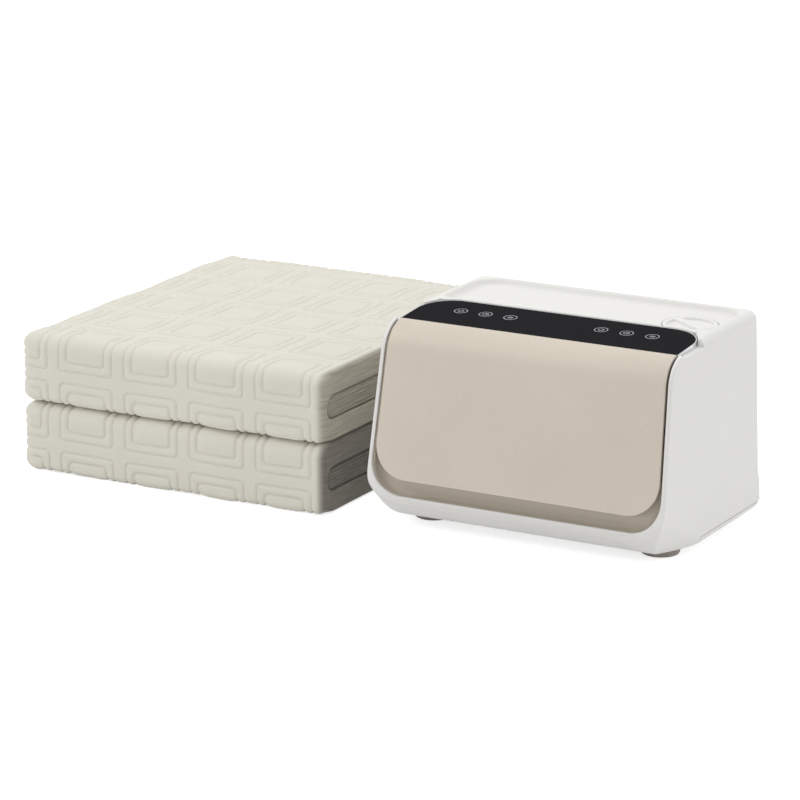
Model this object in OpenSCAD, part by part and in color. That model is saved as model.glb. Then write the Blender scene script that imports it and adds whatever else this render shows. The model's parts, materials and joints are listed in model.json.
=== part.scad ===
// Heated water blanket: two folded quilted bundles and the unit that heats and pumps their water.
// Millimetres. The origin is on the floor, at the middle of the whole set's footprint.
// The front faces -Y, and the control unit stands on the +X side.

/* [Control unit] */
// Width of the unit at the height of the glass
unit_w = 291; // [276:1:304]
// Depth from the front edge of the glass to the back wall
unit_d = 168; // [166:1:190]
// Height of the front edge of the glass above the floor
glass_z = 192; // [188:1:205]
// Height of the top rim above the front edge of the glass
rim_rise = 6; // [5:0.5:9]
// Outward slope of each side, in degrees
side_draft = 2; // [0.5:0.25:3]
// Slope of the front from upright, in degrees
front_slope = 10; // [6:0.5:12]
// Radius of the shoulder under the glass
shoulder_r = 30; // [26:1:32]
// Radius of the curve under the front lip
chin_r = 38; // [30:1:40]
// Radius of the housing's lower side corners
low_corner_r = 20; // [14:1:34]
// Radius of the upright back corners
back_corner_r = 12; // [8:1:22]
// Radius of the top edges
top_edge_r = 9; // [6:1:12]
// Wall thickness of the housing
wall = 3; // [2.4:0.2:3.6]
// Height of the seam between housing and base cover
seam_z = 17; // [15:0.5:20]
// Distance of the base cover's front edge behind the glass's front edge
seam_y = 32; // [28:1:36]

/* [Front opening] */
// Width of the white lip beside the opening
lip_w = 4; // [3.5:0.5:6]
// Height of the opening's lower edge
opening_z = 36; // [32:1:40]
// Radius of the opening's lower corners
opening_r = 32; // [26:1:36]
// Depth of the recess behind the front panel
recess_d = 13; // [10:1:16]
// Height of the front panel's lower edge
panel_z = 52; // [46:1:56]
// Thickness of the front panel
panel_t = 2.5; // [2:0.25:3]
// Gap between front panel and lip at each side
panel_gap = 2.5; // [2:0.5:4]
// How far the front panel lies below the lip's face
panel_set = 0.4; // [0.4:0.2:1.2]
// Radius of the front panel's lower corners
panel_r = 28; // [22:1:32]
// Thickness of the recess liner
liner_t = 2; // [1.6:0.2:2.4]

/* [Glass and keys] */
// Width of the housing's ledge beside the glass
glass_side = 5.5; // [4:0.5:7]
// Depth of the glass from front to back
glass_d = 66; // [60:1:68]
// Rise of the glass towards the back, in degrees
glass_tilt = 4.5; // [3:0.5:5]
// Thickness of the glass
glass_t = 1.6; // [1.4:0.1:1.8]
// Radius of the glass's back corners
glass_r = 34; // [24:1:40]
// Height of the glass's front edge above the housing's side walls
glass_lift = 2.4; // [2.2:0.1:3]
// Length of the low side walls beside the glass
low_side = 44; // [36:1:50]
// Width of the frame's rim round the glass
rim_w = 0.8; // [0.6:0.1:1.2]
// Distance from the unit's middle to the inner key of each group
key_first = 46; // [42:1:52]
// Distance between neighbouring keys
key_pitch = 25.5; // [22:0.5:26]
// Distance of the row of keys behind the glass's front edge
key_y = 38; // [30:1:42]
// Keys in each group
key_count = 3; // [2:1:3]
// Diameter of a touch spring
key_spring_d = 12; // [9:0.5:14]

/* [Top tray and filling] */
// Depth of the tray behind the glass
tray_depth = 7; // [5:0.5:8]
// Width of the rim round the tray
tray_rim = 11; // [8:0.5:14]
// Radius of the tray's corners
tray_r = 24; // [16:1:28]
// Diameter of the fill cap
cap_d = 51; // [46:0.5:54]
// Thickness of the fill cap's disc
cap_t = 4.5; // [4:0.5:6]
// Distance of the cap's centre from the unit's middle
cap_x = 100; // [96:1:100]
// Distance of the cap's centre behind the glass's front edge
cap_y = 112; // [110:1:116]
// Bore of the filler neck
neck_d = 38; // [34:0.5:40]
// Running gap round the fill cap
cap_gap = 0.6; // [0.4:0.1:1]

/* [Water circuit] */
// Width and depth of the water tank
tank_w = 104; // [98:1:108]
// Height of the tank body
tank_h = 88; // [76:1:90]
// Wall thickness of the tank
tank_wall = 2.5; // [2:0.25:3]
// Height of the tank's floor above the table
tank_z = 64; // [63:1:68]
// Diameter of the level float
float_d = 26; // [22:1:28]
// Height of the level float
float_h = 16; // [12:1:20]
// Travel of the level float
float_travel = 40; // [30:1:44]
// Outer diameter of the inner tubes
tube_d = 9; // [8:0.5:10]
// Bore of the inner tubes
tube_bore = 6; // [5:0.5:6.5]
// Diameter of the pump body
pump_d = 46; // [42:1:50]
// Diameter of the impeller
impeller_d = 24; // [20:1:28]
// Blades on the impeller
blade_count = 6; // [5:1:8]
// Running gap round the rotor
rotor_gap = 0.6; // [0.4:0.1:1]
// Diameter of the pump shaft
shaft_d = 3; // [2.5:0.5:4]

/* [Hose coupling] */
// Distance between the two hose ports
port_pitch = 26; // [24:1:32]
// Outer diameter of a hose port
port_d = 10; // [9:0.5:11]
// Bore of a hose port
port_bore = 6; // [5:0.5:6.5]
// How far the hose ports stand out of their recess floor
port_len = 16; // [12:1:18]
// Travel of the coupling release button
button_travel = 2.5; // [2:0.25:3]
// Running gap round the coupling release button
button_gap = 0.3; // [0.2:0.05:0.5]

/* [Feet] */
// Diameter of a rubber foot
foot_d = 36; // [30:1:38]
// Height of a rubber foot
foot_h = 9; // [7:0.5:10]
// Distance of each foot's centre from the unit's middle
foot_x = 116; // [104:1:118]
// Distance of the front feet behind the glass's front edge
foot_front_y = 22; // [18:1:26]

/* [Blanket] */
// Radius of a bundle's upright front right edge
bundle_side_r = 9.5; // [4:0.5:12]
// Width of a folded bundle
bundle_w = 335; // [315:1:350]
// Depth of a folded bundle
bundle_d = 380; // [360:1:395]
// Height of a folded bundle
bundle_h = 68.5; // [66:0.5:74]
// Free space between blanket and control unit at the floor
set_gap = 51; // [40:1:90]
// Distance of the blanket's front behind the unit's front
blanket_back = 13; // [0:1:40]
// Gap between the two bundles
bundle_gap = 0.4; // [0.3:0.1:1]
// Radius of the bundle's edges
bundle_r = 12; // [8:1:14]
// Thickness of the inner fold
fold_t = 21.5; // [18:0.5:24]
// Thickness of the quilt round the front of the inner fold
fold_front = 9.5; // [9:0.5:12]
// Gap round the inner fold
fold_gap = 0.5; // [0.3:0.1:0.8]
// Distance between quilted blocks
quilt_pitch_x = 72.5; // [68:0.5:76]
// Distance between rows of quilted blocks
quilt_pitch_y = 75.5; // [70:0.5:78]
// Width of the flat bars between quilted blocks
quilt_bar = 12.5; // [10:0.5:15]
// Width of the sunk band round each pad
quilt_band = 8.75; // [7:0.25:10]
// Depth of the sunk band
band_sink = 1.5; // [1:0.1:2]
// Height of a pad above the flat bars
pad_rise = 2; // [1.2:0.1:2.4]
// Radius of a pad's corners
pad_r = 5; // [3:0.5:7]
// Diameter of the water tube in the blanket
line_d = 4; // [3:0.5:4.5]
// Distance between the runs of the water tube
line_pitch = 40; // [34:1:44]
// Runs of the water tube in a bundle
line_runs = 6; // [4:2:6]

/* [Hidden] */
$fn = 48;

// Small working values
slack = 0.3;
eps = 0.01;
big = 400;
arc_steps = 10;
pad_steps = 3;

// Colours
white = "#ECEBE8";
beige = "#CDC2B2";
liner_grey = "#ADA498";
cream = "#E4E1D4";
cream_dark = "#CFCBBC";
black_glass = "#26262A";
silver = "#D8D8DA";
rubber_grey = "#A29C92";
clear_tank = "#C9D6DC";
board_green = "#2F6B45";

// Places of the unit and the blanket in the set
body_z = foot_h;
draft_t = tan(side_draft);
rim_z = glass_z + rim_rise;
sh_y = 4;
sh_z = glass_z - shoulder_r + 1;
chin_z = body_z + chin_r;
panel_end = 98.4;
liner_end = 112;
chin_y = sh_y - (shoulder_r - chin_r - (chin_z - sh_z) * sin(front_slope)) / cos(front_slope);
front_y = chin_y - chin_r;
low_half_w = half_w(body_z + low_corner_r)
    - low_corner_r * (1 / cos(side_draft) - cos(side_draft));
set_w = bundle_w + set_gap + 2 * low_half_w;
set_d = blanket_back + bundle_d;
unit_x = set_w / 2 - low_half_w;
unit_y = -set_d / 2 - front_y;
blanket_x = -set_w / 2;
blanket_y = set_d / 2 - bundle_d;

// Glass stack
seat_z = glass_z - glass_lift;
glass_gap = 0.8;
glass_fit = 0.1;
frame_roof = 1.4;
roof_t = glass_t + frame_roof;
spring_h = 6;
glass_half = half_w(glass_z) - glass_side;

// Touch board under the glass, and the posts behind the front panel
touch_w = 236;
touch_l = 40;
touch_y = 14;
touch_hole = 3.4;
panel_post_x = 90;
panel_post_z = [80, 140];
panel_post_d = 8;

// Top tray
tray_z = rim_z - tray_depth;
tray_front = glass_d + 4;
tray_back = unit_d - tray_rim;
tray_half = unit_w / 2 - tray_rim;
pocket_z = tray_z - cap_t;

// Tank and neck
tank_x = 74;
tank_y = 108;
tank_r = 8;
lid_t = 3;
lid_z = tank_z + tank_h;
neck_wall = 3;
neck_out = neck_d + 2 * neck_wall;
ledge_w = 2;
plug_h = 10;
neck_top = pocket_z - wall;
ledge_z = neck_top - plug_h - 4;
stem_d = 6;
stem_x = tank_x - 30;
stem_y = tank_y - 26;
float_low = tank_z + tank_wall + 12;
stop_d = 12;
stop_t = 2;
stem_end = float_low - slack - stop_t;

return_y = tank_y + 20;
return_z = tank_z + 66;
drain_in_y = tank_y + 34;

// Pump, under the tank
pump_x = tank_x;
pump_y = tank_y;
damper_h = 4;
floor_top = body_z + wall;
pump_z = floor_top + damper_h;
pump_h = 20;
head_h = 12;
head_z = pump_z + pump_h;
rotor_z = pump_z + 5;
can_wall = 1.6;
magnet_d = 18;
magnet_h = 14;
impeller_h = 6;
outlet_x = pump_x - pump_d / 2 - 6;

// Heater, to the left of the pump
heater_x = -34;
heater_y = 74;
heater_w = 44;
heater_l = 92;
heater_h = 24;
water_z = head_z + 4.5;
heater_z = water_z - heater_h / 2;
heater_lane = 12;

// Coupling, mains inlet and drain in the back wall
port_x = heater_x;
port_z = water_z;
coupling_w = 64;
coupling_h = 40;
coupling_z = port_z + 3;
coupling_in = 20;
button_w = 16;
button_h = 8;
button_d = 14;
inlet_x = -95;
inlet_z = water_z;
inlet_w = 27;
inlet_h = 20;
inlet_in = 22;
drain_x = 106;
drain_z = 30;
drain_d = 10;

// Boards
board_t = 1.6;
power_x = -80;
power_y = 92;
power_w = 46;
power_l = 100;
power_z = floor_top + 8;
control_x = -117;
control_y = 96;
control_l = 100;
control_h = 80;
control_z = floor_top + 6;
rail_w = 8;
rail_h = 50;

// Lists of posts, each as [x, y, top height, diameter]
tank_posts = [for (sx = [-1, 1], sy = [-1, 1])
    [tank_x + sx * (tank_w / 2 - 9), tank_y + sy * (tank_w / 2 - 9), tank_z, 10]];
heater_posts = [for (sx = [-1, 1], sy = [-1, 1])
    [heater_x + sx * (heater_w / 2 - 5), heater_y + sy * (heater_l / 2 - 12), heater_z, 8]];
power_posts = [for (sx = [-1, 1], sy = [-1, 1])
    [power_x + sx * (power_w / 2 - 5), power_y + sy * (power_l / 2 - 5), power_z, 7]];
base_posts = concat(tank_posts, heater_posts, power_posts);
stud_d = 8;
screw_d = 3;
boss_d = 9;
boss_h = 18;
foot_spots = [for (sx = [-1, 1], y = [foot_front_y, unit_d - foot_front_y]) [sx * foot_x, y]];
front_screws = [[-60, seam_y - 8], [60, seam_y - 8]];
back_screws = [[-75, unit_d - 8.5], [40, unit_d - 8.5]];
key_x = [for (s = [-1, 1], i = [0 : key_count - 1]) s * (key_first + i * key_pitch)];

// Quilt layout, in a bundle's own coordinates from its front right corner
quilt_frame_x = quilt_pitch_x - quilt_bar;
quilt_frame_y = quilt_pitch_y - quilt_bar;
quilt_first_y = 51;
front_band_low = 32.5;
front_band_next = 43.7;
slab_h = bundle_h - pad_rise;
fold_mid = slab_h / 2;
fold_left = 14;
line_arc = fold_t / 2 + fold_gap + line_d / 2 + 1.2;
line_top = fold_mid + line_arc;
line_low = fold_mid - line_arc;
nose_y = fold_front + fold_t / 2;
line_mid_x = -bundle_w / 2;
turn_y = bundle_d - 46;
feed_y = bundle_d - 18;
feed_bend = 8;
manifold_w = 44;
manifold_d = 16;
manifold_h = 14;
nipple_d = 8;
nipple_len = 11;
nipple_bore = 4;

function half_w(z) = unit_w / 2 + (glass_z - z) * draft_t;
function arc(c, r, a0, a1, n = arc_steps) = [for (i = [0 : n])
    let (a = a0 + (a1 - a0) * i / n) c + r * [cos(a), sin(a)]];
function mirrored(p) = concat(p, [for (i = [len(p) - 1 : -1 : 0]) [-p[i].x, p[i].y]]);
function rounded(x0, y0, x1, y1, r, n = arc_steps) = concat(
    arc([x1 - r, y0 + r], r, -90, 0, n), arc([x1 - r, y1 - r], r, 0, 90, n),
    arc([x0 + r, y1 - r], r, 90, 180, n), arc([x0 + r, y0 + r], r, 180, 270, n));

// Outline seen from the front, between two heights, with its sides moved in
function front_outline(inset, z0, z1, r0, r1) =
    let (h0 = half_w(z0 + r0) - inset - r0 / cos(side_draft),
         h1 = half_w(z1 - r1) - inset - r1 / cos(side_draft))
    mirrored(concat(arc([h0, z0 + r0], r0, -90, side_draft),
                    arc([h1, z1 - r1], r1, side_draft, 90)));

// Outline seen from the side, moved in from the outer surface
function side_outline(inset) = concat(
    arc([chin_y, chin_z], chin_r - inset, 270, 180 - front_slope),
    arc([sh_y, sh_z], shoulder_r - inset, 180 - front_slope, 100),
    [[glass_d - 10, rim_z - inset]],
    arc([unit_d - top_edge_r, rim_z - top_edge_r], top_edge_r - inset, 90, 0),
    arc([unit_d - top_edge_r, body_z + top_edge_r], top_edge_r - inset, 0, -90));

// Band that follows the front, between two depths below its face
function front_band(d0, d1, z_end, a_top) =
    let (s = front_slope,
         low0 = front_at(z_end, d0), low1 = front_at(z_end, d1))
    concat([[low0, z_end]], arc([sh_y, sh_z], shoulder_r - d0, 180 - s, a_top),
           arc([sh_y, sh_z], shoulder_r - d1, a_top, 180 - s), [[low1, z_end]]);

// Place of the front face at a height on its straight stretch
function front_at(z, d) = sh_y - (shoulder_r - d) / cos(front_slope)
    - (sh_z - z) * tan(front_slope);

module along_x(w) {
    rotate([90, 0, 90]) translate([0, 0, -w / 2]) linear_extrude(w) children();
}

module along_y(y0, y1) {
    translate([0, y1, 0]) rotate([90, 0, 0]) linear_extrude(y1 - y0) children();
}

module in_unit() {
    translate([unit_x, unit_y, 0]) children();
}

// Tilted frame of the glass, with its origin at the glass's front edge
module on_glass() {
    translate([0, 0, glass_z]) rotate([glass_tilt, 0, 0]) children();
}

module ring(d_out, d_in, h) {
    difference() {
        cylinder(d = d_out, h = h);
        translate([0, 0, -1]) cylinder(d = d_in, h = h + 2);
    }
}

module post_at(p, z0) {
    translate([p[0], p[1], z0]) cylinder(d = p[3], h = p[2] - z0);
}

// Drafted body with round corners, moved in from the outer surface
module body_form(inset, z0 = body_z) {
    r = back_corner_r - inset;
    difference() {
        intersection() {
            along_x(big) polygon(side_outline(inset));
            along_y(-big, big) polygon(front_outline(inset, z0 + inset, rim_z - inset,
                low_corner_r - inset, top_edge_r - inset));
        }
        for (s = [-1, 1]) back_corner_cut(s, r, half_w(body_z) - inset, unit_d - inset);
    }
}

module back_corner_cut(s, r, x, y) {
    translate([s * x, y, body_z]) rotate([0, -s * side_draft, 0])
        translate([0, 0, -40]) linear_extrude(big)
            polygon(concat([[s * 6, -r], [s * 6, 6], [-s * r, 6]],
                [for (p = arc([0, 0], r, 90, 0)) [s * (p.x - r), p.y - r]]));
}

// Straight pipe piece between two points on one axis
module pipe_piece(p, q, d, bore) {
    v = q - p;
    len_v = norm(v);
    turn = [0, acos(v.z / len_v), atan2(v.y, v.x)];
    translate(p) rotate(turn) difference() {
        cylinder(d = d, h = len_v);
        if (bore > 0) translate([0, 0, -eps]) cylinder(d = bore, h = len_v + 2 * eps);
    }
}

// Quarter or half bend that leaves along u and turns towards v, round its centre
module pipe_bend(c, u, v, r, d, bore, turn_by = 90) {
    w = cross(-v, u);
    multmatrix([[-v.x, u.x, w.x, c.x], [-v.y, u.y, w.y, c.y], [-v.z, u.z, w.z, c.z]])
        rotate_extrude(angle = turn_by) translate([r, 0]) difference() {
            circle(d = d);
            if (bore > 0) circle(d = bore);
        }
}

// Pipe along square corners, each rounded to the same bend radius
module pipe_path(pts, r, d, bore) {
    n = len(pts);
    function dir(i) = (pts[i + 1] - pts[i]) / norm(pts[i + 1] - pts[i]);
    for (i = [0 : n - 2])
        pipe_piece(pts[i] + (i > 0 ? dir(i) * r : [0, 0, 0]),
                   pts[i + 1] - (i < n - 2 ? dir(i) * r : [0, 0, 0]), d, bore);
    for (i = [1 : n - 2])
        pipe_bend(pts[i] - dir(i - 1) * r + dir(i) * r, dir(i - 1), dir(i), r, d, bore);
}

module opening_form(inset, z0, r, y0, y1) {
    along_y(y0, y1) polygon(front_outline(inset, z0, rim_z + 20, r, 2));
}

module glass_outline(half, back, r) {
    polygon(mirrored(concat([[half, 0]], arc([half - r, back - r], r, 0, 90))));
}

module housing_shell() {
    color(white) in_unit() difference() {
        union() {
            difference() {
                body_form(0);
                cavity();
            }
            neck_seat();
            for (p = back_screws) back_boss(p);
        }
        for (p = foot_spots) translate([p.x, p.y, 0]) cylinder(d = stud_d + slack, h = 40);
        for (p = front_screws) translate([p.x, p.y, 0]) cylinder(d = screw_d + 0.4, h = floor_top + 1);
        for (p = back_screws) translate([p.x, p.y, 0]) cylinder(d = screw_d + 0.2, h = floor_top + 14);
        opening_form(lip_w, opening_z, opening_r, -big, 8);
        glass_seat();
        glass_well();
        tray_cut();
        base_cut();
        back_cuts();
        translate([cap_x, cap_y, pocket_z]) cylinder(d = cap_d + 2 * cap_gap, h = 40);
        translate([cap_x, cap_y, pocket_z - 20]) cylinder(d = neck_d + 2 * slack, h = 40);
    }
}

// Inside of the housing, lowered under the tray and the glass
module cavity() {
    difference() {
        body_form(wall);
        translate([-big / 2, glass_d - 6, tray_z - wall]) cube([big, big, 60]);
    }
}

// Screw boss that hangs beside the back wall
module back_boss(p) {
    translate([p.x, p.y, floor_top + slack]) cylinder(d = boss_d, h = boss_h);
    translate([p.x - 1.5, p.y, floor_top + 6]) cube([3, unit_d - p.y - 1, boss_h - 6]);
}

// Thick seat under the cap's pocket
module neck_seat() {
    translate([cap_x, cap_y, pocket_z - wall]) cylinder(d = cap_d + 6, h = cap_t + wall - 1);
}

// Room for the glass and its frame, open at both sides along the low side walls
module glass_seat() {
    translate([-big / 2, -slack, seat_z]) cube([big, low_side + slack, 60]);
    intersection() {
        on_glass() translate([0, 0, -20]) linear_extrude(80)
            glass_outline(glass_half + glass_gap, glass_d + glass_gap, glass_r + glass_gap);
        translate([-big / 2, -slack, seat_z]) cube([big, big, 80]);
    }
}

// Well under the glass for the touch board
module glass_well() {
    translate([-glass_half + 9, 6, seat_z - 20]) cube([2 * glass_half - 18, glass_d - 12, 60]);
}

module tray_cut() {
    translate([0, 0, tray_z]) linear_extrude(60)
        polygon(mirrored(concat(arc([tray_half - tray_r / 2, tray_front + tray_r / 2], tray_r / 2, -90, 0),
            arc([tray_half - tray_r, tray_back - tray_r], tray_r, 0, 90))));
}

module base_cut() {
    translate([-big / 2, seam_y, 0]) cube([big, big, seam_z]);
}

module back_cuts() {
    translate([port_x - coupling_w / 2 - slack, unit_d - 20, coupling_z - coupling_h / 2 - slack])
        cube([coupling_w + 2 * slack, 40, coupling_h + 2 * slack]);
    translate([inlet_x - inlet_w / 2 - slack, unit_d - 20, inlet_z - inlet_h / 2 - slack])
        cube([inlet_w + 2 * slack, 40, inlet_h + 2 * slack]);
    translate([drain_x, unit_d - 20, drain_z]) rotate([-90, 0, 0])
        cylinder(d = drain_d + 8 + 2 * slack, h = 40);
    for (i = [0 : 6]) for (s = [-1, 1])
        translate([s * 52 - 30, unit_d - 20, 118 + i * 6]) cube([60, 40, 2]);
}

module base_cover() {
    color(white) in_unit() difference() {
        union() {
            difference() {
                intersection() {
                    body_form(0);
                    translate([-big / 2, seam_y + slack, 0]) cube([big, big, seam_z - slack]);
                }
                intersection() {
                    body_form(wall);
                    translate([-big / 2, seam_y + wall + 2, 0]) cube([big, big, 80]);
                }
            }
            front_tongue();
            for (p = base_posts) post_at(p, floor_top - 1);
            ring_seat();
            board_rails();
        }
        translate([control_x - slack / 2, control_y - control_l / 2 - slack, control_z])
            cube([board_t + slack, control_l + 2 * slack, 200]);
        for (p = foot_spots) translate([p.x, p.y, 0]) cylinder(d = stud_d + slack, h = 40);
        for (p = back_screws) translate([p.x, p.y, 0]) cylinder(d = screw_d + 0.4, h = 40);
        for (p = front_screws) translate([p.x, p.y, 0]) cylinder(d = screw_d + 0.2, h = 40);
        for (p = power_posts) translate([p[0], p[1], floor_top]) cylinder(d = screw_d, h = 40);
    }
}

// Tongue that lies on the housing's floor and takes the front screws
module front_tongue() {
    translate([-90, seam_y - 16, floor_top + slack]) cube([180, 20, 2.5]);
    for (p = front_screws) post_at([p.x, p.y, floor_top + 11, boss_d], floor_top + slack);
}

// Pair of upright rails that hold the control board
module board_rails() {
    for (s = [-1, 1])
        translate([control_x - rail_w / 2, control_y + s * control_l / 2 - rail_w / 2, floor_top - 1])
            cube([rail_w, rail_w, rail_h]);
}

// Raised ring that holds the pump's damper
module ring_seat() {
    translate([pump_x, pump_y, floor_top - 1]) ring(pump_d + 8, pump_d + 2 + 2 * slack, 4);
}

module rubber_feet() {
    color(rubber_grey) in_unit() for (p = foot_spots) translate([p.x, p.y, 0]) {
        cylinder(d1 = foot_d - 3, d2 = foot_d, h = 1.5);
        translate([0, 0, 1.5]) cylinder(d = foot_d, h = foot_h - 1.5);
        translate([0, 0, foot_h - 1]) cylinder(d = stud_d, h = wall + 2);
    }
}

module front_panel() {
    color(beige) in_unit() intersection() {
        along_x(big) polygon(front_band(panel_set, panel_set + panel_t, panel_z, panel_end));
        opening_form(lip_w + panel_gap, panel_z, panel_r, -big, 20);
    }
}

// Tub behind the front panel, with posts that carry the panel
module recess_liner() {
    color(liner_grey) in_unit() {
        intersection() {
            body_form(wall + slack);
            difference() {
                intersection() {
                    along_x(big) polygon(front_band(0, recess_d + liner_t, opening_z - 3, liner_end));
                    opening_form(wall + slack, opening_z - 3, opening_r, -big, 60);
                }
                intersection() {
                    along_x(big) polygon(front_band(-8, recess_d, opening_z - 5, liner_end - 6));
                    opening_form(wall + slack + liner_t, opening_z - 1, opening_r, -big, 60);
                }
            }
        }
        for (x = [-panel_post_x, panel_post_x], z = panel_post_z)
            translate([x, front_at(z, recess_d + 1), z]) rotate([90 - front_slope, 0, 0])
                cylinder(d = panel_post_d, h = recess_d + 1 - panel_set - panel_t);
    }
}

module touch_glass() {
    color(black_glass) in_unit() on_glass() translate([0, 0, -glass_t]) linear_extrude(glass_t)
        glass_outline(glass_half - rim_w - glass_fit, glass_d - rim_w - glass_fit, glass_r - rim_w);
}

// Wedge between the level side walls and the tilted glass, with a rim round the glass
module glass_frame() {
    color(silver) in_unit() difference() {
        intersection() {
            on_glass() translate([0, 0, -20]) linear_extrude(20 - glass_fit)
                glass_outline(glass_half, glass_d, glass_r);
            translate([-big / 2, -5, seat_z]) cube([big, big, 60]);
        }
        on_glass() translate([0, -1, -glass_t]) linear_extrude(20)
            glass_outline(glass_half - rim_w, glass_d - rim_w + 1, glass_r - rim_w);
        on_glass() translate([0, 6, -roof_t - 20]) linear_extrude(20)
            glass_outline(glass_half - 8, glass_d - 14, glass_r - 8);
    }
}

module touch_board() {
    color(board_green) in_unit() on_glass() translate([-touch_w / 2, touch_y, -roof_t - board_t - spring_h])
        difference() {
            cube([touch_w, touch_l, board_t]);
            for (x = [6, touch_w - 6]) translate([x, touch_l / 2, -1]) cylinder(d = touch_hole, h = 4);
        }
}

module touch_springs() {
    color("#B8A06A") in_unit() on_glass() for (x = key_x)
        translate([x, key_y, -roof_t - spring_h]) ring(key_spring_d, key_spring_d - 3, spring_h);
}

module fill_cap() {
    color(white) in_unit() translate([cap_x, cap_y, 0]) difference() {
        union() {
            translate([0, 0, pocket_z + slack]) cylinder(d = cap_d, h = cap_t - slack);
            translate([0, 0, neck_top - plug_h]) cylinder(d = neck_d - 2 * cap_gap,
                h = pocket_z + 1 - neck_top + plug_h);
        }
        translate([0, 0, neck_top - 7]) ring(neck_d, neck_d - 5, 3);
        translate([0, 0, neck_top - plug_h - 1]) cylinder(d = neck_d - 9, h = plug_h + 2);
        for (s = [-1, 1]) cap_hollow(s);
    }
}

// Half-moon hollow beside the cap's grip bar
module cap_hollow(s) {
    rotate([0, 0, 55]) intersection() {
        translate([0, 0, pocket_z + 2]) cylinder(d = cap_d - 8, h = 10);
        translate([s > 0 ? 4 : -4 - cap_d, -cap_d, 0]) cube([cap_d, 2 * cap_d, 400]);
    }
}

module cap_gasket() {
    color(rubber_grey) in_unit() translate([cap_x, cap_y, neck_top - 7 + 0.1])
        ring(neck_d - 0.1, neck_d - 4.9, 2.8);
}

module filler_neck() {
    color(clear_tank) in_unit() translate([cap_x, cap_y, 0]) difference() {
        union() {
            translate([0, 0, lid_z + lid_t]) cylinder(d = neck_out, h = neck_top - lid_z - lid_t);
            translate([0, 0, neck_top - 3]) cylinder(d = neck_out + 10, h = 3);
        }
        translate([0, 0, ledge_z]) cylinder(d = neck_d, h = 60);
        translate([0, 0, 0]) cylinder(d = neck_d - 2 * ledge_w, h = big);
    }
}

module strainer_basket() {
    color("#E8E8E8") in_unit() translate([cap_x, cap_y, 0]) difference() {
        union() {
            translate([0, 0, ledge_z]) cylinder(d = neck_d - 2 * slack, h = 1.5);
            translate([0, 0, ledge_z - 26]) cylinder(d = neck_d - 2 * ledge_w - 2 * slack - 2, h = 27);
        }
        translate([0, 0, ledge_z - 24.5]) cylinder(d = neck_d - 2 * ledge_w - 6, h = 60);
        for (a = [0 : 30 : 150]) rotate([0, 0, a])
            translate([-neck_d, -1, ledge_z - 20]) cube([2 * neck_d, 2, 14]);
    }
}

module tank_box(inset, z0, z1, r) {
    translate([0, 0, z0]) linear_extrude(z1 - z0)
        polygon(rounded(tank_x - tank_w / 2 + inset, tank_y - tank_w / 2 + inset,
            tank_x + tank_w / 2 - inset, tank_y + tank_w / 2 - inset, r));
}

module tank_body() {
    color(clear_tank) in_unit() difference() {
        union() {
            tank_box(0, tank_z, lid_z, tank_r);
            translate([pump_x, pump_y, tank_z - 6]) cylinder(d = tube_d + 6, h = 8);
        }
        tank_box(tank_wall, tank_z + tank_wall, lid_z + 1, tank_r - tank_wall);
        translate([pump_x, pump_y, tank_z - 8]) cylinder(d = tube_d, h = 20);
        translate([0, return_y, return_z]) rotate([0, 90, 0]) cylinder(d = tube_d + 0.2, h = tank_x);
        translate([drain_x, drain_in_y, tank_z - 2]) cylinder(d = tube_d + 0.2, h = 20);
    }
}

module tank_lid() {
    color(clear_tank) in_unit() difference() {
        union() {
            tank_box(0, lid_z, lid_z + lid_t, tank_r);
            tank_box(tank_wall + slack, lid_z - 4, lid_z + 1, tank_r - tank_wall);
        }
        tank_box(tank_wall + 3, lid_z - 5, lid_z, tank_r - tank_wall - 2);
        translate([cap_x, cap_y, lid_z - 6]) cylinder(d = neck_d - 2 * ledge_w, h = 20);
        translate([stem_x, stem_y, lid_z - 6]) cylinder(d = stem_d, h = 20);
    }
}

module float_stem() {
    color("#D9D2C4") in_unit() translate([stem_x, stem_y, 0]) {
        translate([0, 0, stem_end]) cylinder(d = stem_d, h = lid_z + lid_t - stem_end);
        translate([0, 0, stem_end]) cylinder(d = stop_d, h = stop_t);
        translate([0, 0, lid_z + lid_t]) cylinder(d = stop_d, h = 4);
    }
}

module level_float() {
    color("#E9E3D2") in_unit() translate([stem_x, stem_y, float_low])
        ring(float_d, stem_d + 1, float_h);
}

module pump_damper() {
    color(rubber_grey) in_unit() translate([pump_x, pump_y, floor_top]) difference() {
        cylinder(d = pump_d + 2, h = damper_h + 3);
        translate([0, 0, damper_h]) cylinder(d = pump_d, h = 10);
        translate([0, 0, -1]) cylinder(d = pump_d - 14, h = 10);
    }
}

module pump_body() {
    color("#3A3A3E") in_unit() translate([pump_x, pump_y, 0]) difference() {
        translate([0, 0, pump_z]) cylinder(d = pump_d, h = pump_h);
        translate([0, 0, rotor_z - rotor_gap]) cylinder(d = magnet_d + 2 * rotor_gap, h = 40);
        translate([0, 0, head_z - 2]) cylinder(d = impeller_d + 2 * rotor_gap, h = 10);
        translate([0, 0, rotor_z - 3]) cylinder(d = shaft_d, h = 10);
        translate([0, 0, pump_z + 2]) ring(pump_d - 4, magnet_d + 2 * rotor_gap + 2 * can_wall, pump_h - 6);
    }
}

module pump_winding() {
    color("#B5713A") in_unit() translate([pump_x, pump_y, pump_z + 2 + slack])
        ring(pump_d - 4 - 2 * slack, magnet_d + 2 * rotor_gap + 2 * can_wall + 2 * slack,
            pump_h - 6 - 2 * slack);
}

module pump_shaft() {
    color(silver) in_unit() translate([pump_x, pump_y, rotor_z - 3])
        cylinder(d = shaft_d, h = head_z + impeller_h - rotor_z + 3 + 1.5);
}

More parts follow.
